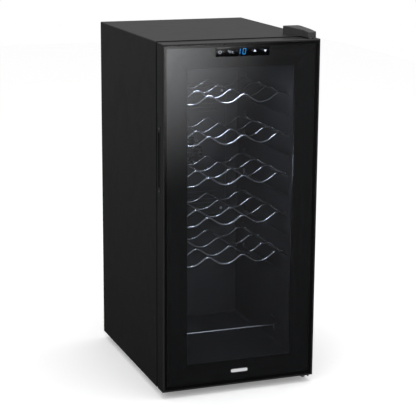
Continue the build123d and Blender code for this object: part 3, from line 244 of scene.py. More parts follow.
def bent_path(corners, radii, arc_steps=9, run_step=0.012):
    """Straight runs joined by arcs through an (n, 3) list of corners, with one radius for each inner corner.

    At a corner with unit directions p before and q after, turned by the angle w, the arc starts r tan(w/2) before the
    corner. Its points are centre - r cos(v) n + r sin(v) p for v from 0 to w, where n points from the arc's start to
    its centre.
    """
    corners = np.asarray(corners, float)
    pieces, last = [], corners[0]
    for before, here, after, radius in zip(corners[:-2], corners[1:-1], corners[2:], radii):
        p = (here - before) / np.linalg.norm(here - before)
        q = (after - here) / np.linalg.norm(after - here)
        turn = np.arccos(np.clip(p @ q, -1, 1))
        start = here - p * radius * np.tan(turn / 2)
        n = q - (p @ q) * p
        n /= np.linalg.norm(n)
        v = np.linspace(0, turn, arc_steps)[:, None]
        arc = start + radius * (1 - np.cos(v)) * n + radius * np.sin(v) * p
        pieces += [straight(last, start, run_step), arc]
        last = arc[-1]
    pieces.append(straight(last, corners[-1], run_step))
    path = np.concatenate(pieces + [corners[-1:]])
    gap = np.linalg.norm(np.diff(path, axis=0), axis=1)
    return path[np.concatenate([[True], gap > 1e-6])]


def straight(a, b, step):
    """Evenly spaced points from a up to, but not including, b."""
    count = max(1, int(np.linalg.norm(b - a) / step))
    return a + (b - a) * (np.arange(count) / count)[:, None]


def window_curve(x0, x1, z0, z1, radius, y, steps=7):
    """A rectangle with rounded corners in the plane of the door, anticlockwise as seen from the front."""
    t = np.linspace(0, pi / 2, steps)
    centres = [(x1 - radius, z0 + radius, -pi / 2), (x1 - radius, z1 - radius, 0),
               (x0 + radius, z1 - radius, pi / 2), (x0 + radius, z0 + radius, pi)]
    arcs = [np.stack([cx + radius * np.cos(t + a), np.full(steps, y), cz + radius * np.sin(t + a)], axis=1)
            for cx, cz, a in centres]
    return np.concatenate(arcs)


def lofted(rings, close):
    """(points, faces) through rings of equally many points. close joins the last ring to the first."""
    stack = np.stack(rings)
    return stack.reshape(-1, 3), [grid_faces(len(rings), stack.shape[1], close, True)]


def plate(outline, y0, y1):
    """(points, faces) of a flat plate whose outline is an (n, 2) array of x and z."""
    n = len(outline)
    front = np.stack([outline[:, 0], np.full(n, y0), outline[:, 1]], axis=1)
    back = front + [0, y1 - y0, 0]
    index = np.arange(n)
    caps = np.stack([index, index[::-1] + n])
    return np.concatenate([front, back]), [grid_faces(2, n, False, True), caps]


def turned(profile, centre, sides=48):
    """(points, faces) of a closed profile of (radius, y) points spun round an axis along Y through centre."""
    t = np.arange(sides) * 2 * pi / sides
    r, y = profile[:, 0], profile[:, 1]
    points = np.stack([centre[0] + r * np.cos(t)[:, None], centre[1] + np.tile(y, (sides, 1)),
                       centre[2] + r * np.sin(t)[:, None]], axis=-1)
    return points.reshape(-1, 3), [grid_faces(sides, len(profile), True, True)]


def add_piece(name, parts, body, look, stands_for=(), rounded=False):
    """A piece from (points, faces) pairs, with its body, its material and the nodes it stands for, which it hides."""
    obj = joined(name, parts)
    if rounded:
        smooth(obj)
    obj.data.materials.append(MATERIALS[look])
    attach(obj, body)
    if stands_for:
        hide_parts(*stands_for)


# ---------------------------------------------------------------- shared effects
def new_group(name, inputs, outputs):
    """An empty node group with named sockets."""
    tree = bpy.data.node_groups.new(name, "ShaderNodeTree")
    for label, kind, default in inputs:
        socket = tree.interface.new_socket(label, in_out="INPUT", socket_type=kind)
        socket.default_value = default
    for label, kind in outputs:
        tree.interface.new_socket(label, in_out="OUTPUT", socket_type=kind)
    return tree, tree.nodes.new("NodeGroupInput"), tree.nodes.new("NodeGroupOutput")


def feed(tree, socket, value):
    """Gives a socket a plain value, or links another socket to it."""
    if isinstance(value, bpy.types.NodeSocket):
        tree.links.new(value, socket)
    else:
        socket.default_value = value


def node(tree, kind, settings=None, **inputs):
    """A node with its settings and its inputs. An input is named, with _ for a space, or numbered as i0, i1, ..."""
    made = tree.nodes.new(kind)
    for key, value in (settings or {}).items():
        setattr(made, key, value)
    for key, value in inputs.items():
        feed(tree, made.inputs[int(key[1:]) if key[1:].isdigit() else key.replace("_", " ")], value)
    return made


def mixed_colour(tree, amount, a, b):
    """Colour socket of a mix of two colours."""
    mix = tree.nodes.new("ShaderNodeMix")
    mix.data_type = "RGBA"
    for index, value in ((0, amount), (6, a), (7, b)):
        feed(tree, mix.inputs[index], value)
    return mix.outputs[2]


def math(tree, operation, a, b=0.0, c=0.0, clamp=False):
    """Output socket of a math node."""
    made = node(tree, "ShaderNodeMath", {"operation": operation, "use_clamp": clamp}, i0=a, i1=b, i2=c)
    return made.outputs[0]


def grain_group():
    """Fine moulded or sprayed texture: colour, roughness and height vary with two sizes of noise."""
    tree, given, out = new_group(
        "Surface Grain",
        [("Colour", "NodeSocketColor", (0.1, 0.1, 0.1, 1)), ("Scale", "NodeSocketFloat", 900.0),
         ("Roughness", "NodeSocketFloat", 0.4), ("Colour Spread", "NodeSocketFloat", 0.15),
         ("Roughness Spread", "NodeSocketFloat", 0.08)],
        [("Colour", "NodeSocketColor"), ("Roughness", "NodeSocketFloat"), ("Height", "NodeSocketFloat")])
    place = tree.nodes.new("ShaderNodeTexCoord").outputs["Object"]
    fine = node(tree, "ShaderNodeTexNoise", Vector=place, Scale=given.outputs["Scale"], Detail=2.0)
    broad = node(tree, "ShaderNodeTexNoise", Vector=place, Scale=7.0, Detail=3.0, Roughness=0.6)
    swing = math(tree, "SUBTRACT", broad.outputs["Fac"], 0.5)
    shade = math(tree, "MULTIPLY_ADD", swing, given.outputs["Colour Spread"], 1.0)
    shade = math(tree, "MULTIPLY_ADD", math(tree, "SUBTRACT", fine.outputs["Fac"], 0.5), 0.10, shade)
    tone = node(tree, "ShaderNodeVectorMath", {"operation": "SCALE"}, i0=given.outputs["Colour"], Scale=shade)
    rough = math(tree, "MULTIPLY_ADD", swing, given.outputs["Roughness Spread"], given.outputs["Roughness"])
    tree.links.new(tone.outputs[0], out.inputs["Colour"])
    tree.links.new(rough, out.inputs["Roughness"])
    tree.links.new(fine.outputs["Fac"], out.inputs["Height"])
    return tree


def dust_group():
    """Handling marks and a little dust on what faces up: both lift the colour and the roughness."""
    tree, given, out = new_group(
        "Dust And Marks",
        [("Colour", "NodeSocketColor", (0.1, 0.1, 0.1, 1)), ("Roughness", "NodeSocketFloat", 0.4),
         ("Dust", "NodeSocketFloat", 0.3), ("Marks", "NodeSocketFloat", 0.2)],
        [("Colour", "NodeSocketColor"), ("Roughness", "NodeSocketFloat")])
    place = tree.nodes.new("ShaderNodeTexCoord").outputs["Object"]
    normal = node(tree, "ShaderNodeSeparateXYZ", Vector=tree.nodes.new("ShaderNodeNewGeometry").outputs["Normal"])
    up = math(tree, "MULTIPLY", math(tree, "MAXIMUM", normal.outputs["Z"], 0.0), given.outputs["Dust"])
    specks = node(tree, "ShaderNodeTexNoise", Vector=place, Scale=420.0, Detail=4.0, Roughness=0.75)
    film = node(tree, "ShaderNodeTexNoise", Vector=place, Scale=11.0, Detail=5.0, Roughness=0.65)
    speck = node(tree, "ShaderNodeMapRange", Value=specks.outputs["Fac"], From_Min=0.62, From_Max=0.78)
    smear = node(tree, "ShaderNodeMapRange", Value=film.outputs["Fac"], From_Min=0.48, From_Max=0.72)
    cover = math(tree, "MULTIPLY", up, math(tree, "MULTIPLY_ADD", smear.outputs[0], 0.4, speck.outputs[0]))
    cover = math(tree, "MINIMUM", cover, 1.0)
    tone = mixed_colour(tree, math(tree, "MULTIPLY", cover, 0.25), given.outputs["Colour"], (0.35, 0.34, 0.32, 1))
    rough = math(tree, "MULTIPLY_ADD", smear.outputs[0], math(tree, "MULTIPLY", given.outputs["Marks"], 0.25),
                 given.outputs["Roughness"])
    rough = math(tree, "MULTIPLY_ADD", cover, 0.3, rough, clamp=True)
    tree.links.new(tone, out.inputs["Colour"])
    tree.links.new(rough, out.inputs["Roughness"])
    return tree


def brushed_group():
    """Drawn or brushed metal: noise stretched along one direction."""
    tree, given, out = new_group(
        "Drawn Metal",
        [("Colour", "NodeSocketColor", (0.6, 0.6, 0.62, 1)), ("Stretch", "NodeSocketVector", (600.0, 8.0, 600.0)),
         ("Roughness", "NodeSocketFloat", 0.25), ("Spread", "NodeSocketFloat", 0.2)],
        [("Colour", "NodeSocketColor"), ("Roughness", "NodeSocketFloat"), ("Height", "NodeSocketFloat")])
    place = tree.nodes.new("ShaderNodeTexCoord").outputs["Object"]
    stretched = node(tree, "ShaderNodeVectorMath", {"operation": "MULTIPLY"}, i0=place, i1=given.outputs["Stretch"])
    lines = node(tree, "ShaderNodeTexNoise", Vector=stretched.outputs[0], Scale=1.0, Detail=3.0)
    swing = math(tree, "SUBTRACT", lines.outputs["Fac"], 0.5)
    shade = math(tree, "MULTIPLY_ADD", swing, given.outputs["Spread"], 1.0)
    tone = node(tree, "ShaderNodeVectorMath", {"operation": "SCALE"}, i0=given.outputs["Colour"], Scale=shade)
    rough = math(tree, "MULTIPLY_ADD", swing, given.outputs["Spread"], given.outputs["Roughness"], clamp=True)
    tree.links.new(tone.outputs[0], out.inputs["Colour"])
    tree.links.new(rough, out.inputs["Roughness"])
    tree.links.new(lines.outputs["Fac"], out.inputs["Height"])
    return tree


GROUPS = {}


def use_group(tree, name, **inputs):
    """A shared effect in a material, with its inputs."""
    return node(tree, "ShaderNodeGroup", {"node_tree": GROUPS[name]}, **inputs)


def rgba(tint):
    """A colour with full alpha."""
    return (*tint[:3], 1.0)


def new_material(name, **shader):
    """A material whose shader's plain values are set on its own sockets."""
    material = bpy.data.materials.new(name)
    material.use_nodes = True
    bsdf = material.node_tree.nodes["Principled BSDF"]
    for key, value in shader.items():
        bsdf.inputs[key.replace("_", " ")].default_value = value
    return material, material.node_tree, bsdf


def add_bump(tree, bsdf, height, strength, distance):
    """Relief of a shader from a height."""
    bump = node(tree, "ShaderNodeBump", Height=height, Strength=strength, Distance=distance)
    tree.links.new(bump.outputs[0], bsdf.inputs["Normal"])


def grained(name, tint, roughness, scale, bump=0.15, spread=0.15, dust=0.3, marks=0.3, deep=0.00005, **shader):
    """A painted, moulded or rubber finish: grain under dust and marks."""
    material, tree, bsdf = new_material(name, **shader)
    grain = use_group(tree, "grain", Colour=rgba(tint), Scale=scale, Roughness=roughness, Colour_Spread=spread)
    dusty = use_group(tree, "dust", Colour=grain.outputs["Colour"], Roughness=grain.outputs["Roughness"],
                      Dust=dust, Marks=marks)
    tree.links.new(dusty.outputs["Colour"], bsdf.inputs["Base Color"])
    tree.links.new(dusty.outputs["Roughness"], bsdf.inputs["Roughness"])
    add_bump(tree, bsdf, grain.outputs["Height"], bump, deep)
    return material


def metal(name, tint, roughness, stretch, spread=0.15, bump=0.05, plated=1.0, **shader):
    """A bare or plated metal with fine lines. A silver lacquer is less than fully plated."""
    material, tree, bsdf = new_material(name, Metallic=plated, **shader)
    lines = use_group(tree, "brushed", Colour=rgba(tint), Stretch=stretch, Roughness=roughness, Spread=spread)
    tree.links.new(lines.outputs["Colour"], bsdf.inputs["Base Color"])
    tree.links.new(lines.outputs["Roughness"], bsdf.inputs["Roughness"])
    add_bump(tree, bsdf, lines.outputs["Height"], bump, 0.00002)
    return material


def glass(name, tint, ior=1.45):
    """Clear glass whose tint varies faintly, as behind a wiped film."""
    material, tree, bsdf = new_material(name, Transmission_Weight=1.0, IOR=ior, Roughness=0.0)
    place = tree.nodes.new("ShaderNodeTexCoord").outputs["Object"]
    film = node(tree, "ShaderNodeTexNoise", Vector=place, Scale=5.0, Detail=5.0, Roughness=0.65)
    wipe = node(tree, "ShaderNodeMapRange", Value=film.outputs["Fac"], From_Min=0.4, From_Max=0.7)
    darker = tuple(c * 0.96 for c in tint)
    tree.links.new(mixed_colour(tree, wipe.outputs[0], rgba(tint), rgba(darker)), bsdf.inputs["Base Color"])
    return material


def lit(name, tint, strength, cell=0.0012):
    """A lit mark or lens: its glow is a little uneven, as behind a diffuser."""
    material, tree, bsdf = new_material(name, Roughness=0.35, Emission_Strength=strength)
    place = tree.nodes.new("ShaderNodeTexCoord").outputs["Object"]
    glow = node(tree, "ShaderNodeTexNoise", Vector=place, Scale=1 / cell, Detail=1.0)
    dim = tuple(c * 0.8 for c in tint)
    shade = mixed_colour(tree, glow.outputs["Fac"], rgba(tint), rgba(dim))
    tree.links.new(shade, bsdf.inputs["Emission Color"])
    tree.links.new(shade, bsdf.inputs["Base Color"])
    return material


def circuit_board(name):
    """Green solder mask with paler tracks in a square lattice and tinned pads."""
    material, tree, bsdf = new_material(name, Coat_Weight=0.3)
    place = tree.nodes.new("ShaderNodeTexCoord").outputs["Object"]
    bricks = node(tree, "ShaderNodeTexVoronoi", {"distance": "MANHATTAN", "feature": "F1"}, Vector=place, Scale=190.0)
    tracks = node(tree, "ShaderNodeMapRange", Value=bricks.outputs["Distance"], From_Min=0.35, From_Max=0.45)
    pads = node(tree, "ShaderNodeMapRange", Value=bricks.outputs["Distance"], From_Min=0.10, From_Max=0.07)
    tone = mixed_colour(tree, tracks.outputs[0], (0.01, 0.09, 0.035, 1), (0.02, 0.17, 0.07, 1))
    tone = mixed_colour(tree, pads.outputs[0], tone, (0.6, 0.6, 0.58, 1))
    tree.links.new(tone, bsdf.inputs["Base Color"])
    rough = math(tree, "MULTIPLY_ADD", tracks.outputs[0], -0.1, 0.42)
    tree.links.new(rough, bsdf.inputs["Roughness"])
    add_bump(tree, bsdf, tracks.outputs[0], 0.2, 0.00005)
    return material


def foam(name):
    """Closed-cell foam: small pale cells with darker walls."""
    material, tree, bsdf = new_material(name)
    place = tree.nodes.new("ShaderNodeTexCoord").outputs["Object"]
    cells = node(tree, "ShaderNodeTexVoronoi", {"feature": "DISTANCE_TO_EDGE"}, Vector=place, Scale=380.0)
    wall = node(tree, "ShaderNodeMapRange", Value=cells.outputs["Distance"], From_Min=0.0, From_Max=0.3)
    tone = mixed_colour(tree, wall.outputs[0], (0.42, 0.34, 0.18, 1), (0.74, 0.66, 0.44, 1))
    tree.links.new(tone, bsdf.inputs["Base Color"])
    tree.links.new(math(tree, "MULTIPLY_ADD", wall.outputs[0], -0.1, 0.95), bsdf.inputs["Roughness"])
    add_bump(tree, bsdf, wall.outputs[0], 0.6, 0.0003)
    return material


MATERIALS = {}


class COOLER_OT_finishes(bpy.types.Operator):
    """Make every finish and put one on each part of the frame"""

    bl_idname = "cooler.finishes"
    bl_label = "Finishes"

    def execute(self, context):
        colours = context.scene.cooler_colours
        GROUPS.update(grain=grain_group(), dust=dust_group(), brushed=brushed_group())
        MATERIALS.update({
            "black_steel": grained("Powder Coat Black", colours.steel, 0.40, 1500.0, bump=0.10, dust=0.25,
                                   marks=0.35),
            "grey_steel": grained("Rear Panel Steel", (0.022, 0.022, 0.023), 0.5, 1500.0, bump=0.12, dust=0.3),
            "zinc_steel": metal("Zinc Plate", (0.62, 0.62, 0.60), 0.34, (300.0, 300.0, 300.0), spread=0.3),
            "liner_plastic": grained("Cavity Plastic", colours.liner, 0.42, 2400.0, bump=0.05, dust=0.1, marks=0.2),
            "black_plastic": grained("Moulded Black", colours.moulding, 0.34, 2600.0, bump=0.10, dust=0.2, marks=0.4),
            # Lighter copy of the moulded black: the lifted colour is painted sheen for the cover's reflections.
            "hinge_cover": grained("Hinge Cover Painted Sheen", colours.cover, 0.36, 2600.0, bump=0.12, dust=0.3, marks=0.4),
            "foam": foam("Insulating Foam"),
            "nylon": grained("Nylon", (0.78, 0.77, 0.72), 0.45, 1800.0, dust=0.0),
            "foot_plastic": grained("Foot Rubber", (0.02, 0.02, 0.02), 0.7, 1600.0, bump=0.3, dust=0.2),
            "front_glass": glass("Tinted Front Glass", (0.80, 0.83, 0.88)),
            "clear_glass": glass("Inner Pane", (0.95, 0.96, 0.97), ior=1.12),
            "spacer_aluminium": metal("Spacer Bar", (0.08, 0.08, 0.085), 0.35, (40.0, 900.0, 40.0)),
            "gasket_rubber": grained("Gasket Rubber", (0.018, 0.018, 0.019), 0.6, 2200.0, bump=0.2, dust=0.1),
            "magnet_strip": grained("Magnet Strip", (0.05, 0.045, 0.04), 0.7, 1800.0),
            "chrome_wire": metal("Chromed Wire", (0.74, 0.75, 0.78), 0.13, (240.0, 240.0, 240.0), spread=0.12),
            "circuit_board": circuit_board("Circuit Board"),
            "display": grained("Display Window", (0.01, 0.012, 0.016), 0.2, 900.0, dust=0.0, marks=0.0),
            "badge_metal": metal("Trim Bar Satin", (0.80, 0.80, 0.82), 0.45, (8.0, 900.0, 900.0), spread=0.2,
                                 plated=0.35),
            "lens_plastic": lit("Lamp Lens", colours.lamp, 5.0, 0.004),
            "heat_sink_aluminium": metal("Extruded Aluminium", (0.62, 0.63, 0.65), 0.36, (500.0, 500.0, 8.0)),
            "ceramic_white": grained("Module Ceramic", (0.75, 0.75, 0.72), 0.5, 1500.0, dust=0.0),
            "fan_plastic": grained("Fan Plastic", (0.018, 0.018, 0.02), 0.45, 1900.0, dust=0.35),
            "tray_plastic": grained("Tray Plastic", (0.03, 0.03, 0.031), 0.55, 1700.0, dust=0.3),
            "lead_sleeve": grained("Lead Sleeve", (0.02, 0.02, 0.02), 0.5, 2000.0, dust=0.2),
            "print": grained("Glass Print", colours.print_black, 0.9, 1400.0, bump=0.0, dust=0.0, marks=0.0,
                             Specular_IOR_Level=0.0),
            "panel_film": grained("Panel Film", (0.003, 0.003, 0.0034), 0.06, 1400.0, bump=0.0, dust=0.0,
                                  marks=0.1, Specular_IOR_Level=0.45),
            "digits": lit("Lit Digits", colours.digits, 1.25),
            "icons": lit("Lit Marks", colours.icons, 1.0),
            "soft_icons": lit("Dim Marks", colours.icons, 0.35),
        })
        for part in frame["record"]["subparts"]:
            shown = frame["nodes"][part["node"]]
            shown.data.materials.clear()
            # The hinge cover gets the lighter copy with painted sheen in place of its record slot's black.
            special = "hinge_cover" if part["node"] == "top_hinge_cover" else part["material_slot"]
            shown.data.materials.append(MATERIALS[special])
        return {"FINISHED"}


# ---------------------------------------------------------------- glazing and display
def window_limits(sizes):
    """Left, right, bottom and top of the clear window."""
    margin = sizes.window_margin
    return SPACER_LO.x + margin, SPACER_HI.x - margin, SPACER_LO.z + margin, SPACER_HI.z - margin


class COOLER_OT_glazing(bpy.types.Operator):
    """Print round the window, the bead round the front glass and the bar between the panes"""

    bl_idname = "cooler.glazing"
    bl_label = "Glazing"

    def execute(self, context):
        sizes = context.scene.cooler_sizes
        front = GLASS_HI.y + 0.00002
        back = front + sizes.print_thickness
        edge = 0.0003
        outer = (GLASS_LO.x + edge, GLASS_HI.x - edge, GLASS_LO.z + edge, GLASS_HI.z - edge, 0.001)
        inner = (*window_limits(sizes), sizes.window_radius)
        rings = [window_curve(*outer, front), window_curve(*inner, front), window_curve(*inner, back),
                 window_curve(*outer, back)]
        add_piece("window_print", [lofted(rings, True)], "door", "print")
        lap = 0.00024
        path = window_curve(GLASS_LO.x - lap, GLASS_HI.x + lap, GLASS_LO.z - lap, GLASS_HI.z + lap, 0.001,
                            GLASS_LO.y + 0.0006)
        flat = circle(1.0, 10) * [lap, 0.0006]
        add_piece("glass_bead", [swept(path, (0, 1, 0), flat, True)], "door", "gasket_rubber",
                  rounded=True)
        self.spacer(back + 0.00003, sizes.bar_width)
        return {"FINISHED"}

    def spacer(self, front, width):
        """Bar between the panes, a closed profile carried round the window.

        The profile is a rectangle with corners cut at 45 degrees, and a shallow groove runs along its inner face.
        """
        half, deep = width / 2, SPACER_HI.y - front
        cut, groove = 0.0008, 0.0006
        profile = np.array([
            [-half + cut, 0], [half - cut, 0], [half, cut], [half, deep / 2 - 2 * groove],
            [half - groove, deep / 2 - groove], [half - groove, deep / 2 + groove], [half, deep / 2 + 2 * groove],
            [half, deep - cut], [half - cut, deep], [-half + cut, deep], [-half, deep - cut], [-half, cut]])
        path = window_curve(SPACER_LO.x + half, SPACER_HI.x - half, SPACER_LO.z + half, SPACER_HI.z - half,
                            0.001, front)
        add_piece("spacer_bar", [swept(path, (0, 1, 0), profile, True)], "door", "spacer_aluminium",
                  ["glazing_spacer"])


def slanted(outline, centre, slant=0.12):
    """Leans an outline to the right, as a lit digit does, and moves it to its centre."""
    lean = outline + np.stack([outline[:, 1] * slant, np.zeros(len(outline))], axis=1)
    return lean + np.asarray(centre)


def bar(a, b, width):
    """A segment of a digit from a to b: a bar with pointed ends."""
    a, b = np.asarray(a, float), np.asarray(b, float)
    along = (b - a) / np.linalg.norm(b - a)
    across = np.array([-along[1], along[0]]) * width / 2
    tip = along * width / 2
    return np.stack([a, a + tip + across, b - tip + across, b, b - tip - across, a + tip - across])


SEGMENTS = {"1": "bc", "0": "abcdef"}


def digit_outlines(text, height, step, width):
    """Seven-segment bars of a number, centred on the origin."""
    w, h = height * 0.52, height / 2
    ends = {"a": ((-w / 2, h), (w / 2, h)), "b": ((w / 2, h), (w / 2, 0)), "c": ((w / 2, 0), (w / 2, -h)),
            "d": ((-w / 2, -h), (w / 2, -h)), "e": ((-w / 2, 0), (-w / 2, -h)), "f": ((-w / 2, h), (-w / 2, 0))}
    first = -(len(text) - 1) / 2 * step
    return [slanted(bar(*ends[s], width), (first + k * step, 0))
            for k, mark in enumerate(text) for s in SEGMENTS[mark]]


def arc_plate(radius, width, start, stop, y0, y1, centre, steps=28):
    """(points, faces) of a flat curved band from one angle to another, with closed ends."""
    t = np.linspace(start, stop, steps)
    spoke = np.stack([np.cos(t), np.sin(t)], axis=1)
    outline = np.concatenate([spoke * (radius + width / 2), spoke[::-1] * (radius - width / 2)])
    return plate(outline + np.asarray(centre), y0, y1)


class COOLER_OT_display(bpy.types.Operator):
    """Dark control panel with lit digits, two dimmer marks to their left and two arrows to their right"""

    bl_idname = "cooler.display"
    bl_label = "Display"

    def execute(self, context):
        sizes = context.scene.cooler_sizes
        z = (BOARD_LO.z + BOARD_HI.z) / 2
        w, h = sizes.panel_width / 2, sizes.panel_height / 2
        film, marks = 0.0001, 0.00006
        y1 = GLASS_LO.y - film
        y0 = y1 - marks
        curve = window_curve(-w, w, z - h, z + h, 0.0008, 0.0)[:, ::2]
        add_piece("control_panel_film", [plate(curve, y1, GLASS_LO.y)], "door", "panel_film")
        pitch, stroke, aside = 0.0122, 0.0010, -0.0033
        digits = digit_outlines("10", sizes.digit_height, pitch, stroke)
        lit_digits = [plate(o + [aside, z], y0, y1) for o in digits]
        left = self.power_mark(-0.0500, z, y0, y1) + self.unit_mark(-0.0275, z, y0, y1)
        right = self.arrow(0.0260, z, 1, y0, y1) + self.arrow(0.0490, z, -1, y0, y1)
        for name, look, parts in (("lit_digits", "digits", lit_digits), ("unit_marks", "soft_icons", left),
                                  ("key_marks", "icons", right)):
            add_piece(name, parts, "door", look)
        return {"FINISHED"}

    def power_mark(self, x, z, y0, y1):
        """A broken ring with an upright bar in its gap."""
        gap = radians(38)
        ring = arc_plate(0.0030, 0.0007, pi / 2 + gap, pi / 2 + 2 * pi - gap, y0, y1, (x, z))
        stem = plate(bar((x, z + 0.0042), (x, z + 0.0004), 0.0007), y0, y1)
        return [ring, stem]

    def unit_mark(self, x, z, y0, y1):
        """Two small degree rings either side of a stroke."""
        rings = [arc_plate(0.0010, 0.0005, 0, 2 * pi * 0.985, y0, y1, (x + dx, z + dz))
                 for dx, dz in ((-0.0042, 0.0022), (0.0034, -0.0004))]
        stroke = plate(bar((x - 0.0012, z - 0.0034), (x + 0.0012, z + 0.0034), 0.0005), y0, y1)
        hooks = [arc_plate(0.0016, 0.0005, radians(60), radians(300), y0, y1, (x + dx, z + dz))
                 for dx, dz in ((-0.0016, 0.0), (0.0060, -0.0018))]
        return rings + [stroke] + hooks

    def arrow(self, x, z, way, y0, y1):
        """A filled triangle that points up or down."""
        r = 0.0037
        t = pi / 2 * way + np.arange(3) * 2 * pi / 3
        return [plate(np.stack([x + r * np.cos(t), z + 0.86 * r * np.sin(t)], axis=1), y0, y1)]


class COOLER_OT_gasket(bpy.types.Operator):
    """Magnetic seal with a bellows fold on each side"""

    bl_idname = "cooler.gasket"
    bl_label = "Gasket"

    def execute(self, context):
        lo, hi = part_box("door_gasket")
        frame_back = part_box("door_liner")[1].y
        width, deep = 0.014, hi.y - frame_back
        v = np.linspace(0, 1, 17)
        half = width / 2 * (1 - 0.16 * np.sin(2 * pi * v) ** 2 - 0.10 * np.cos(pi * v) ** 8)
        right = np.stack([half, deep * (v - 1)], axis=1)
        left = np.stack([-half[::-1], deep * (v[::-1] - 1)], axis=1)
        profile = np.concatenate([right, left])
        stem = np.array([[-0.002, -deep], [-0.002, -deep - 0.0021], [0.002, -deep - 0.0021], [0.002, -deep]])
        inset = width / 2
        path = window_curve(lo.x + inset, hi.x - inset, lo.z + inset, hi.z - inset, 0.003, hi.y)
        seal = [swept(path, (0, 1, 0), outline, True) for outline in (profile, stem)]
        add_piece("bellows_seal", seal, "door", "gasket_rubber", ["door_gasket"], rounded=True)
        return {"FINISHED"}


# ---------------------------------------------------------------- wires
def wave_corners(tip, pitch, y, top):
    """Corners and radii of one wave wire, three cradles wide."""
    crest, trough = 0.0030, -0.0245
    run = pitch / 2 * -trough / (crest - trough)
    x = [-pitch - run, -pitch, -pitch / 2, 0, pitch / 2, pitch, pitch + run]
    lift = [0, trough, crest, trough, crest, trough, 0]
    radii = [0.012, 0.035, 0.014, 0.035, 0.014, 0.035, 0.012]
    inner = [(cx, y, top + dz) for cx, dz in zip(x, lift)]
    return [(-tip, y, top)] + inner + [(tip, y, top)], radii


class COOLER_OT_shelves(bpy.types.Operator):
    """Five chromed shelves, each of two side wires and four wave wires with a weld at each crossing"""

    bl_idname = "cooler.shelves"
    bl_label = "Wire shelves"

    def execute(self, context):
        sizes = context.scene.cooler_sizes
        r = sizes.wire_radius
        for name in sorted(n for n in frame["bodies"] if n.startswith("shelf_")):
            lo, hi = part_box(name)
            side_x, top = hi.x - r, hi.z - r
            side_z = top - 0.0036
            parts = []
            for x in (-side_x, side_x):
                path = straight(np.array([x, lo.y, side_z]), np.array([x, hi.y, side_z]), 0.02)
                path = np.concatenate([path, [[x, hi.y, side_z]]])
                parts.append(swept(path, (0, 0, 1), circle(r, 20), False))
            for k in range(4):
                y = lo.y + r + k * 0.075
                corners, radii = wave_corners(side_x + 0.8 * r, sizes.bottle_pitch, y, top)
                parts.append(swept(bent_path(corners, radii, 13), (0, 1, 0), circle(r, 20), False))
                parts += [self.weld(x, y, (top + side_z) / 2, r) for x in (-side_x, side_x)]
            add_piece(name + "_wires", parts, name, "chrome_wire", [name], rounded=True)
        return {"FINISHED"}

    def weld(self, x, y, z, r):
        """A small flattened bead where two wires of radius r cross: a ball of radii 1.05 r, 1.05 r and 0.63 r."""
        rows, sides = 9, 16
        t = np.linspace(0.02, pi - 0.02, rows)
        profile = np.stack([np.sin(t) * r * 1.05, -np.cos(t) * r * 1.05], axis=1)
        u = np.arange(sides) * 2 * pi / sides
        points = np.stack([x + profile[:, :1] * np.cos(u), y + profile[:, :1] * np.sin(u),
                           z + np.tile(profile[:, 1:] * 0.6, (1, sides))], axis=-1)
        caps = np.stack([np.arange(sides)[::-1], (rows - 1) * sides + np.arange(sides)])
        return points.reshape(-1, 3), [grid_faces(rows, sides, False, True), caps]


class COOLER_OT_rail(bpy.types.Operator):
    """Low chromed rail in front of the bottom bottles"""

    bl_idname = "cooler.rail"
    bl_label = "Wire rail"

    def execute(self, context):
        r = context.scene.cooler_sizes.wire_radius
        lo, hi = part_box("lower_rail")
        y0, y1, low, high = lo.y + r, hi.y - r, lo.z + r, hi.z - r
        reach, x, z = hi.x, hi.x - 0.0085, low + 0.014
        half = [(x, y0, z), (x, y1, high), (reach, y1, high)]
        corners = [(-px, py, pz) for px, py, pz in reversed(half)] + half
        parts = [swept(bent_path(corners, [0.004, 0.009, 0.009, 0.004]), (0, 0, 1), circle(r, 20), False)]
        for side in (-1, 1):
            leg = [(side * (x - 0.016), y0, z), (side * (x - 0.016), y0, low), (side * reach, y0, low)]
            parts.append(swept(bent_path(leg, [0.006]), (0, 1, 0), circle(r, 20), False))
        add_piece("rail_wires", parts, "cabinet", "chrome_wire", ["lower_rail"], rounded=True)
        return {"FINISHED"}


class COOLER_OT_guard(bpy.types.Operator):
    """Round wire guard over the rear fan"""

    bl_idname = "cooler.guard"
    bl_label = "Fan guard"

    def execute(self, context):
        r = 0.0012
        lo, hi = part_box("fan_guard")
        centre = (lo + hi) / 2
        wire_y = lo.y + r
        t = np.arange(64) * 2 * pi / 64
        parts = []
        for ring_r in (0.011, 0.021, 0.031, 0.041):
            path = np.stack([centre.x + ring_r * np.cos(t), np.full(len(t), wire_y),
                             centre.z + ring_r * np.sin(t)], axis=1)
            parts.append(swept(path, (0, 1, 0), circle(r, 12), True))
        eye_r = 0.0045
        hole = (hi.x - lo.x) / 2 - eye_r
        for sx, sz in ((1, 1), (1, -1)):
            end = np.array([sx * hole, 0, sz * hole])
            cut = end * (1 - 0.004 / np.linalg.norm(end))
            middle = np.array([centre.x, wire_y + 0.8 * r, centre.z])
            path = np.concatenate([straight(middle - cut, middle + cut, 0.008), [middle + cut]])
            parts.append(swept(path, (0, 1, 0), circle(r, 12), False))
        eye = np.array([[0.0022, 0.0], [0.0043, 0.0], [0.0045, 0.0003], [0.0045, 0.0019], [0.0043, 0.0022],
                        [0.0022, 0.0022]])
        for sx in (-1, 1):
            for sz in (-1, 1):
                parts.append(turned(eye, (centre.x + sx * hole, lo.y, centre.z + sz * hole), 28))
        add_piece("guard_wires", parts, "cabinet", "chrome_wire", ["fan_guard"], rounded=True)
        return {"FINISHED"}


# ---------------------------------------------------------------- fans
BLADES = 7


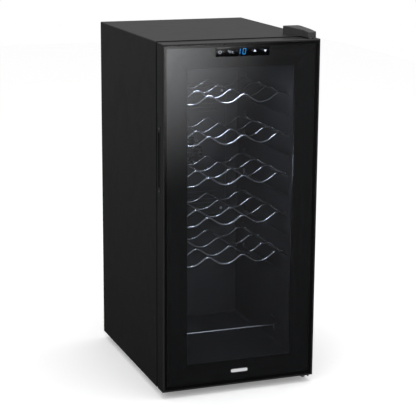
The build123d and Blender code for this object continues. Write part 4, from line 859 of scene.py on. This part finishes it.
def blade_shell(start, hub_r, tip_r, y0, y1, centre):
    """(points, faces) of one fan blade.

    The section at radius r is a thin closed aerofoil. Its chord is 0.62 of a blade's share of the circle, its
    thickness along the chord is 2 (0.0005 sin(pi v) + 0.0003), and its pitch falls from 50 degrees at the hub to 30
    at the tip. The place a along the chord is wrapped round the axis as an angle a / r, and the blade sweeps forward
    with the radius. Its depth is scaled to fill 0.92 of the room from y0 to y1.
    """
    rows, half = 12, 11
    s = np.linspace(0, 1, rows)[:, None]
    r = hub_r + (tip_r - hub_r) * s
    v = np.linspace(0, 1, half)
    camber = 0.0018 * np.sin(pi * v)
    thick = 0.0005 * np.sin(pi * v) + 0.0003
    along = np.concatenate([v, v[::-1]]) - 0.5
    off = np.concatenate([camber + thick, (camber - thick)[::-1]])
    chord = 0.62 * 2 * pi * r / BLADES
    pitch = np.radians(50 - 20 * s)
    around = along * chord * np.cos(pitch) - off * np.sin(pitch)
    deep = along * chord * np.sin(pitch) + off * np.cos(pitch)
    room = (y1 - y0) * 0.46
    deep = deep * (room / np.abs(deep).max())
    turn = start + around / r + 0.35 * s ** 1.5
    points = np.stack([centre[0] + r * np.cos(turn), (y0 + y1) / 2 + deep, centre[2] + r * np.sin(turn)], axis=-1)
    columns = 2 * half
    caps = np.stack([np.arange(columns)[::-1], (rows - 1) * columns + np.arange(columns)])
    return points.reshape(-1, 3), [grid_faces(rows, columns, False, True), caps]


class COOLER_OT_fans(bpy.types.Operator):
    """Both fan rotors: a domed hub, a shaft and seven twisted blades"""

    bl_idname = "cooler.fans"
    bl_label = "Fan rotors"

    def execute(self, context):
        self.rotor("cold_fan", 0.015, -1)
        self.rotor("hot_fan", 0.020, 1)
        return {"FINISHED"}

    def rotor(self, body, hub_r, face):
        """face is +1 where the hub's dome looks to the back, -1 where it looks to the front."""
        clear, motor = 0.001, 0.0036
        lo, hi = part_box(body + "_frame")
        centre = (0.0, 0.0, (lo.z + hi.z) / 2)
        tip_r = (hi.x - lo.x) / 2 - 0.0037
        if face < 0:
            y0, y1, shaft = lo.y + clear, hi.y - motor, hi.y - 0.0006
        else:
            y0, y1, shaft = lo.y + motor, hi.y - clear, lo.y + 0.0006
        dome = np.linspace(0, pi / 2, 7)
        rim = 0.0015
        outer = np.stack([hub_r - rim + rim * np.sin(dome), rim - rim * np.cos(dome)], axis=1)
        length = y1 - y0
        shaft_end = length + abs(shaft - (y1 if face < 0 else y0))
        profile = np.concatenate([[[0.0004, 0.0]], outer, [[hub_r, length], [0.0016, length], [0.0015, shaft_end],
                                                           [0.0004, shaft_end]]])
        if face < 0:
            profile[:, 1] += y0
        else:
            profile[:, 1] = y1 - profile[:, 1]
        parts = [turned(profile, centre, 56)]
        parts += [blade_shell(k * 2 * pi / BLADES, hub_r - 0.001, tip_r, y0, y1, centre) for k in range(BLADES)]
        add_piece(body + "_wheel", parts, body, "fan_plastic", [body + "_rotor"], rounded=True)


# ---------------------------------------------------------------- stage
def camera_matrix(stage, aim):
    """Looks at the aim from an azimuth and an elevation, then turns about its own axis."""
    back = Vector((sin(stage.azimuth) * cos(stage.elevation), -cos(stage.azimuth) * cos(stage.elevation),
                   sin(stage.elevation)))
    right = Vector((0, 0, 1)).cross(back).normalized()
    up = back.cross(right)
    turn = Matrix((right, up, back)).transposed().to_4x4() @ Matrix.Rotation(stage.roll, 4, "Z")
    return Matrix.Translation(aim + back * stage.distance) @ turn


GLOW_PEAK, GLOW_POWER = 5.2, 1.8
GLOW_ASIDE, GLOW_ABOVE = 0.318, -0.105  # slopes of the rays to the panel's middle
GLOW_WIDE, GLOW_TALL = 0.117, 0.142  # half sizes of the panel, as slopes
SOFT_LIGHT, CAVITY_LIGHT, FRONT_SHINE = 0.85, 3.0, 0.09


def studio_world():
    """White to the camera and through glass, a soft even light to matt surfaces, and a dim room to mirrors.

    The room brightens from the floor line upwards and towards the front. A soft panel stands low in front, to the
    right: with u and v the ray's sideways and upward slopes from the panel's middle, each over its half size, its
    light is peak * max(0, 1 - sqrt(u^2 + v^2)) ^ power. Matt surfaces behind glass get a light of their own.
    """
    world = bpy.data.worlds.new("Studio")
    world.use_nodes = True
    tree = world.node_tree
    tree.nodes.clear()
    towards = node(tree, "ShaderNodeSeparateXYZ", Vector=tree.nodes.new("ShaderNodeTexCoord").outputs["Generated"])
    forward = math(tree, "MULTIPLY", towards.outputs["Y"], -1.0)
    ahead = math(tree, "MAXIMUM", forward, 0.001)
    slopes = []
    for axis, middle, half in (("X", GLOW_ASIDE, GLOW_WIDE), ("Z", GLOW_ABOVE, GLOW_TALL)):
        slope = math(tree, "DIVIDE", towards.outputs[axis], ahead)
        slope = math(tree, "DIVIDE", math(tree, "SUBTRACT", slope, middle), half)
        slopes.append(math(tree, "MULTIPLY", slope, slope))
    reach = math(tree, "SQRT", math(tree, "ADD", *slopes))
    near = math(tree, "SUBTRACT", 1.0, reach, clamp=True)
    glow = math(tree, "MULTIPLY", math(tree, "POWER", near, GLOW_POWER), GLOW_PEAK)
    shine = math(tree, "MULTIPLY_ADD", math(tree, "MAXIMUM", forward, 0.0), FRONT_SHINE, glow)
    for bottom, top, most in ((-0.36, 0.22, 0.25), (0.25, 1.0, 0.6)):
        rise = node(tree, "ShaderNodeMapRange", Value=towards.outputs["Z"], From_Min=bottom, From_Max=top,
                    To_Max=most)
        shine = math(tree, "ADD", shine, rise.outputs[0])
    ray = tree.nodes.new("ShaderNodeLightPath").outputs
    bounces = math(tree, "ADD", ray["Diffuse Depth"], ray["Glossy Depth"])
    unbounced = math(tree, "SUBTRACT", 1.0, bounces, clamp=True)
    seen = math(tree, "MAXIMUM", ray["Is Camera Ray"], math(tree, "MULTIPLY", ray["Is Transmission Ray"], unbounced))
    behind_glass = math(tree, "MULTIPLY", ray["Is Transmission Ray"],
                        math(tree, "MINIMUM", ray["Diffuse Depth"], 1.0))
    mirrored = math(tree, "SUBTRACT", ray["Is Glossy Ray"], behind_glass, clamp=True)
    strength = math(tree, "MULTIPLY_ADD", behind_glass, CAVITY_LIGHT - SOFT_LIGHT, SOFT_LIGHT)
    for amount, other in ((mirrored, shine), (seen, 1.0)):
        strength = node(tree, "ShaderNodeMix", {"data_type": "FLOAT"}, i0=amount, i2=strength, i3=other).outputs[0]
    whole = node(tree, "ShaderNodeBackground", Color=(1, 1, 1, 1), Strength=strength)
    node(tree, "ShaderNodeOutputWorld", Surface=whole.outputs[0])
    return world


def floor_material():
    """Matt white paper with a faint fibre, lit evenly enough to meet the white behind it."""
    material, tree, bsdf = new_material("Studio Paper", Roughness=0.9, Specular_IOR_Level=0.1, Emission_Strength=0.22)
    place = tree.nodes.new("ShaderNodeTexCoord").outputs["Object"]
    fibre = node(tree, "ShaderNodeTexNoise", Vector=place, Scale=900.0, Detail=2.0)
    white = mixed_colour(tree, fibre.outputs["Fac"], (0.93, 0.93, 0.93, 1), (0.90, 0.90, 0.90, 1))
    tree.links.new(white, bsdf.inputs["Base Color"])
    tree.links.new(white, bsdf.inputs["Emission Color"])
    return material


class COOLER_OT_stage(bpy.types.Operator):
    """Camera, pale floor and soft studio light"""

    bl_idname = "cooler.stage"
    bl_label = "Stage"

    def execute(self, context):
        scene = context.scene
        stage = scene.cooler_stage
        lo, hi = CAD_BOUNDS
        middle = (Vector(lo) + Vector(hi)) / 2
        camera = bpy.data.objects.new("Camera", bpy.data.cameras.new("Camera"))
        scene.collection.objects.link(camera)
        camera.data.sensor_width = 36.0
        camera.data.lens = stage.lens
        camera.matrix_world = camera_matrix(stage, Vector((middle.x + 0.0099, middle.y, stage.aim_height)))
        scene.camera = camera
        scene.world = studio_world()
        scene.view_settings.view_transform = "Standard"
        x = np.linspace(-3.0, 3.0, 13)
        y = np.linspace(-1.2, 6.0, 13)
        gx, gy = np.meshgrid(x, y, indexing="ij")
        points = np.stack([gx, gy, np.full(gx.shape, lo[2] - 0.0002)], axis=-1).reshape(-1, 3)
        floor = mesh_object("studio_floor", points, [grid_faces(13, 13, False, False)[:, ::-1]])
        floor.data.materials.append(floor_material())
        floor.visible_glossy = floor.visible_transmission = False
        self.lamp("Overhead", (0.2, -0.3, 2.6), (0.0, 0.0, 0.0), 2.2, 20.0)
        self.lamp("Front Fill", (-1.6, -2.6, 1.6), (0.0, 0.0, 0.35), 1.6, 16.0)
        lens_lo, lens_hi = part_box("lamp_lens")
        mid = (lens_lo + lens_hi) / 2
        glow = self.lamp("Cavity Lamp", (mid.x, mid.y, lens_lo.z - 0.0015), (mid.x, mid.y + 0.02, 0.0), 0.1,
                         stage.lamp_power, scene.cooler_colours.lamp)
        glow.data.shape = "RECTANGLE"
        glow.data.size, glow.data.size_y = lens_hi.x - lens_lo.x, lens_hi.y - lens_lo.y
        return {"FINISHED"}

    def lamp(self, name, place, aim, size, power, tint=(1.0, 1.0, 1.0)):
        """A round area light at a place, turned to its aim."""
        light = bpy.data.lights.new(name, "AREA")
        light.size, light.energy, light.color = size, power, tint[:3]
        light.shape = "DISK"
        obj = bpy.data.objects.new(name, light)
        turn = (Vector(place) - Vector(aim)).to_track_quat("Z", "Y").to_matrix().to_4x4()
        obj.matrix_world = Matrix.Translation(place) @ turn
        bpy.context.scene.collection.objects.link(obj)
        return obj


# ---------------------------------------------------------------- panel and registration
class COOLER_PT_panel(bpy.types.Panel):
    """The cooler's sizes, colours and build steps"""

    bl_idname = "COOLER_PT_panel"
    bl_label = "Wine Cooler"
    bl_space_type = "VIEW_3D"
    bl_region_type = "UI"
    bl_category = "Cooler"

    def draw(self, context):
        for settings in (context.scene.cooler_sizes, context.scene.cooler_colours, context.scene.cooler_stage):
            for key in type(settings).__annotations__:
                self.layout.prop(settings, key)
        for step in STEPS:
            self.layout.operator(step.bl_idname)


STEPS = (COOLER_OT_finishes, COOLER_OT_stage, COOLER_OT_glazing, COOLER_OT_display, COOLER_OT_gasket,
         COOLER_OT_shelves, COOLER_OT_rail, COOLER_OT_guard, COOLER_OT_fans)
SETTINGS = {"cooler_sizes": CoolerSizes, "cooler_colours": CoolerColours, "cooler_stage": CoolerStage}


def register():
    for cls in (*SETTINGS.values(), *STEPS, COOLER_PT_panel):
        bpy.utils.register_class(cls)
    for key, cls in SETTINGS.items():
        setattr(bpy.types.Scene, key, bpy.props.PointerProperty(type=cls))


def unregister():
    for key in SETTINGS:
        delattr(bpy.types.Scene, key)
    for cls in reversed((*SETTINGS.values(), *STEPS, COOLER_PT_panel)):
        bpy.utils.unregister_class(cls)


def main():
    """Registers the add-on and runs every step."""
    register()
    for step in STEPS:
        group, name = step.bl_idname.split(".")
        getattr(getattr(bpy.ops, group), name)()


if __name__ == "__main__":
    main()
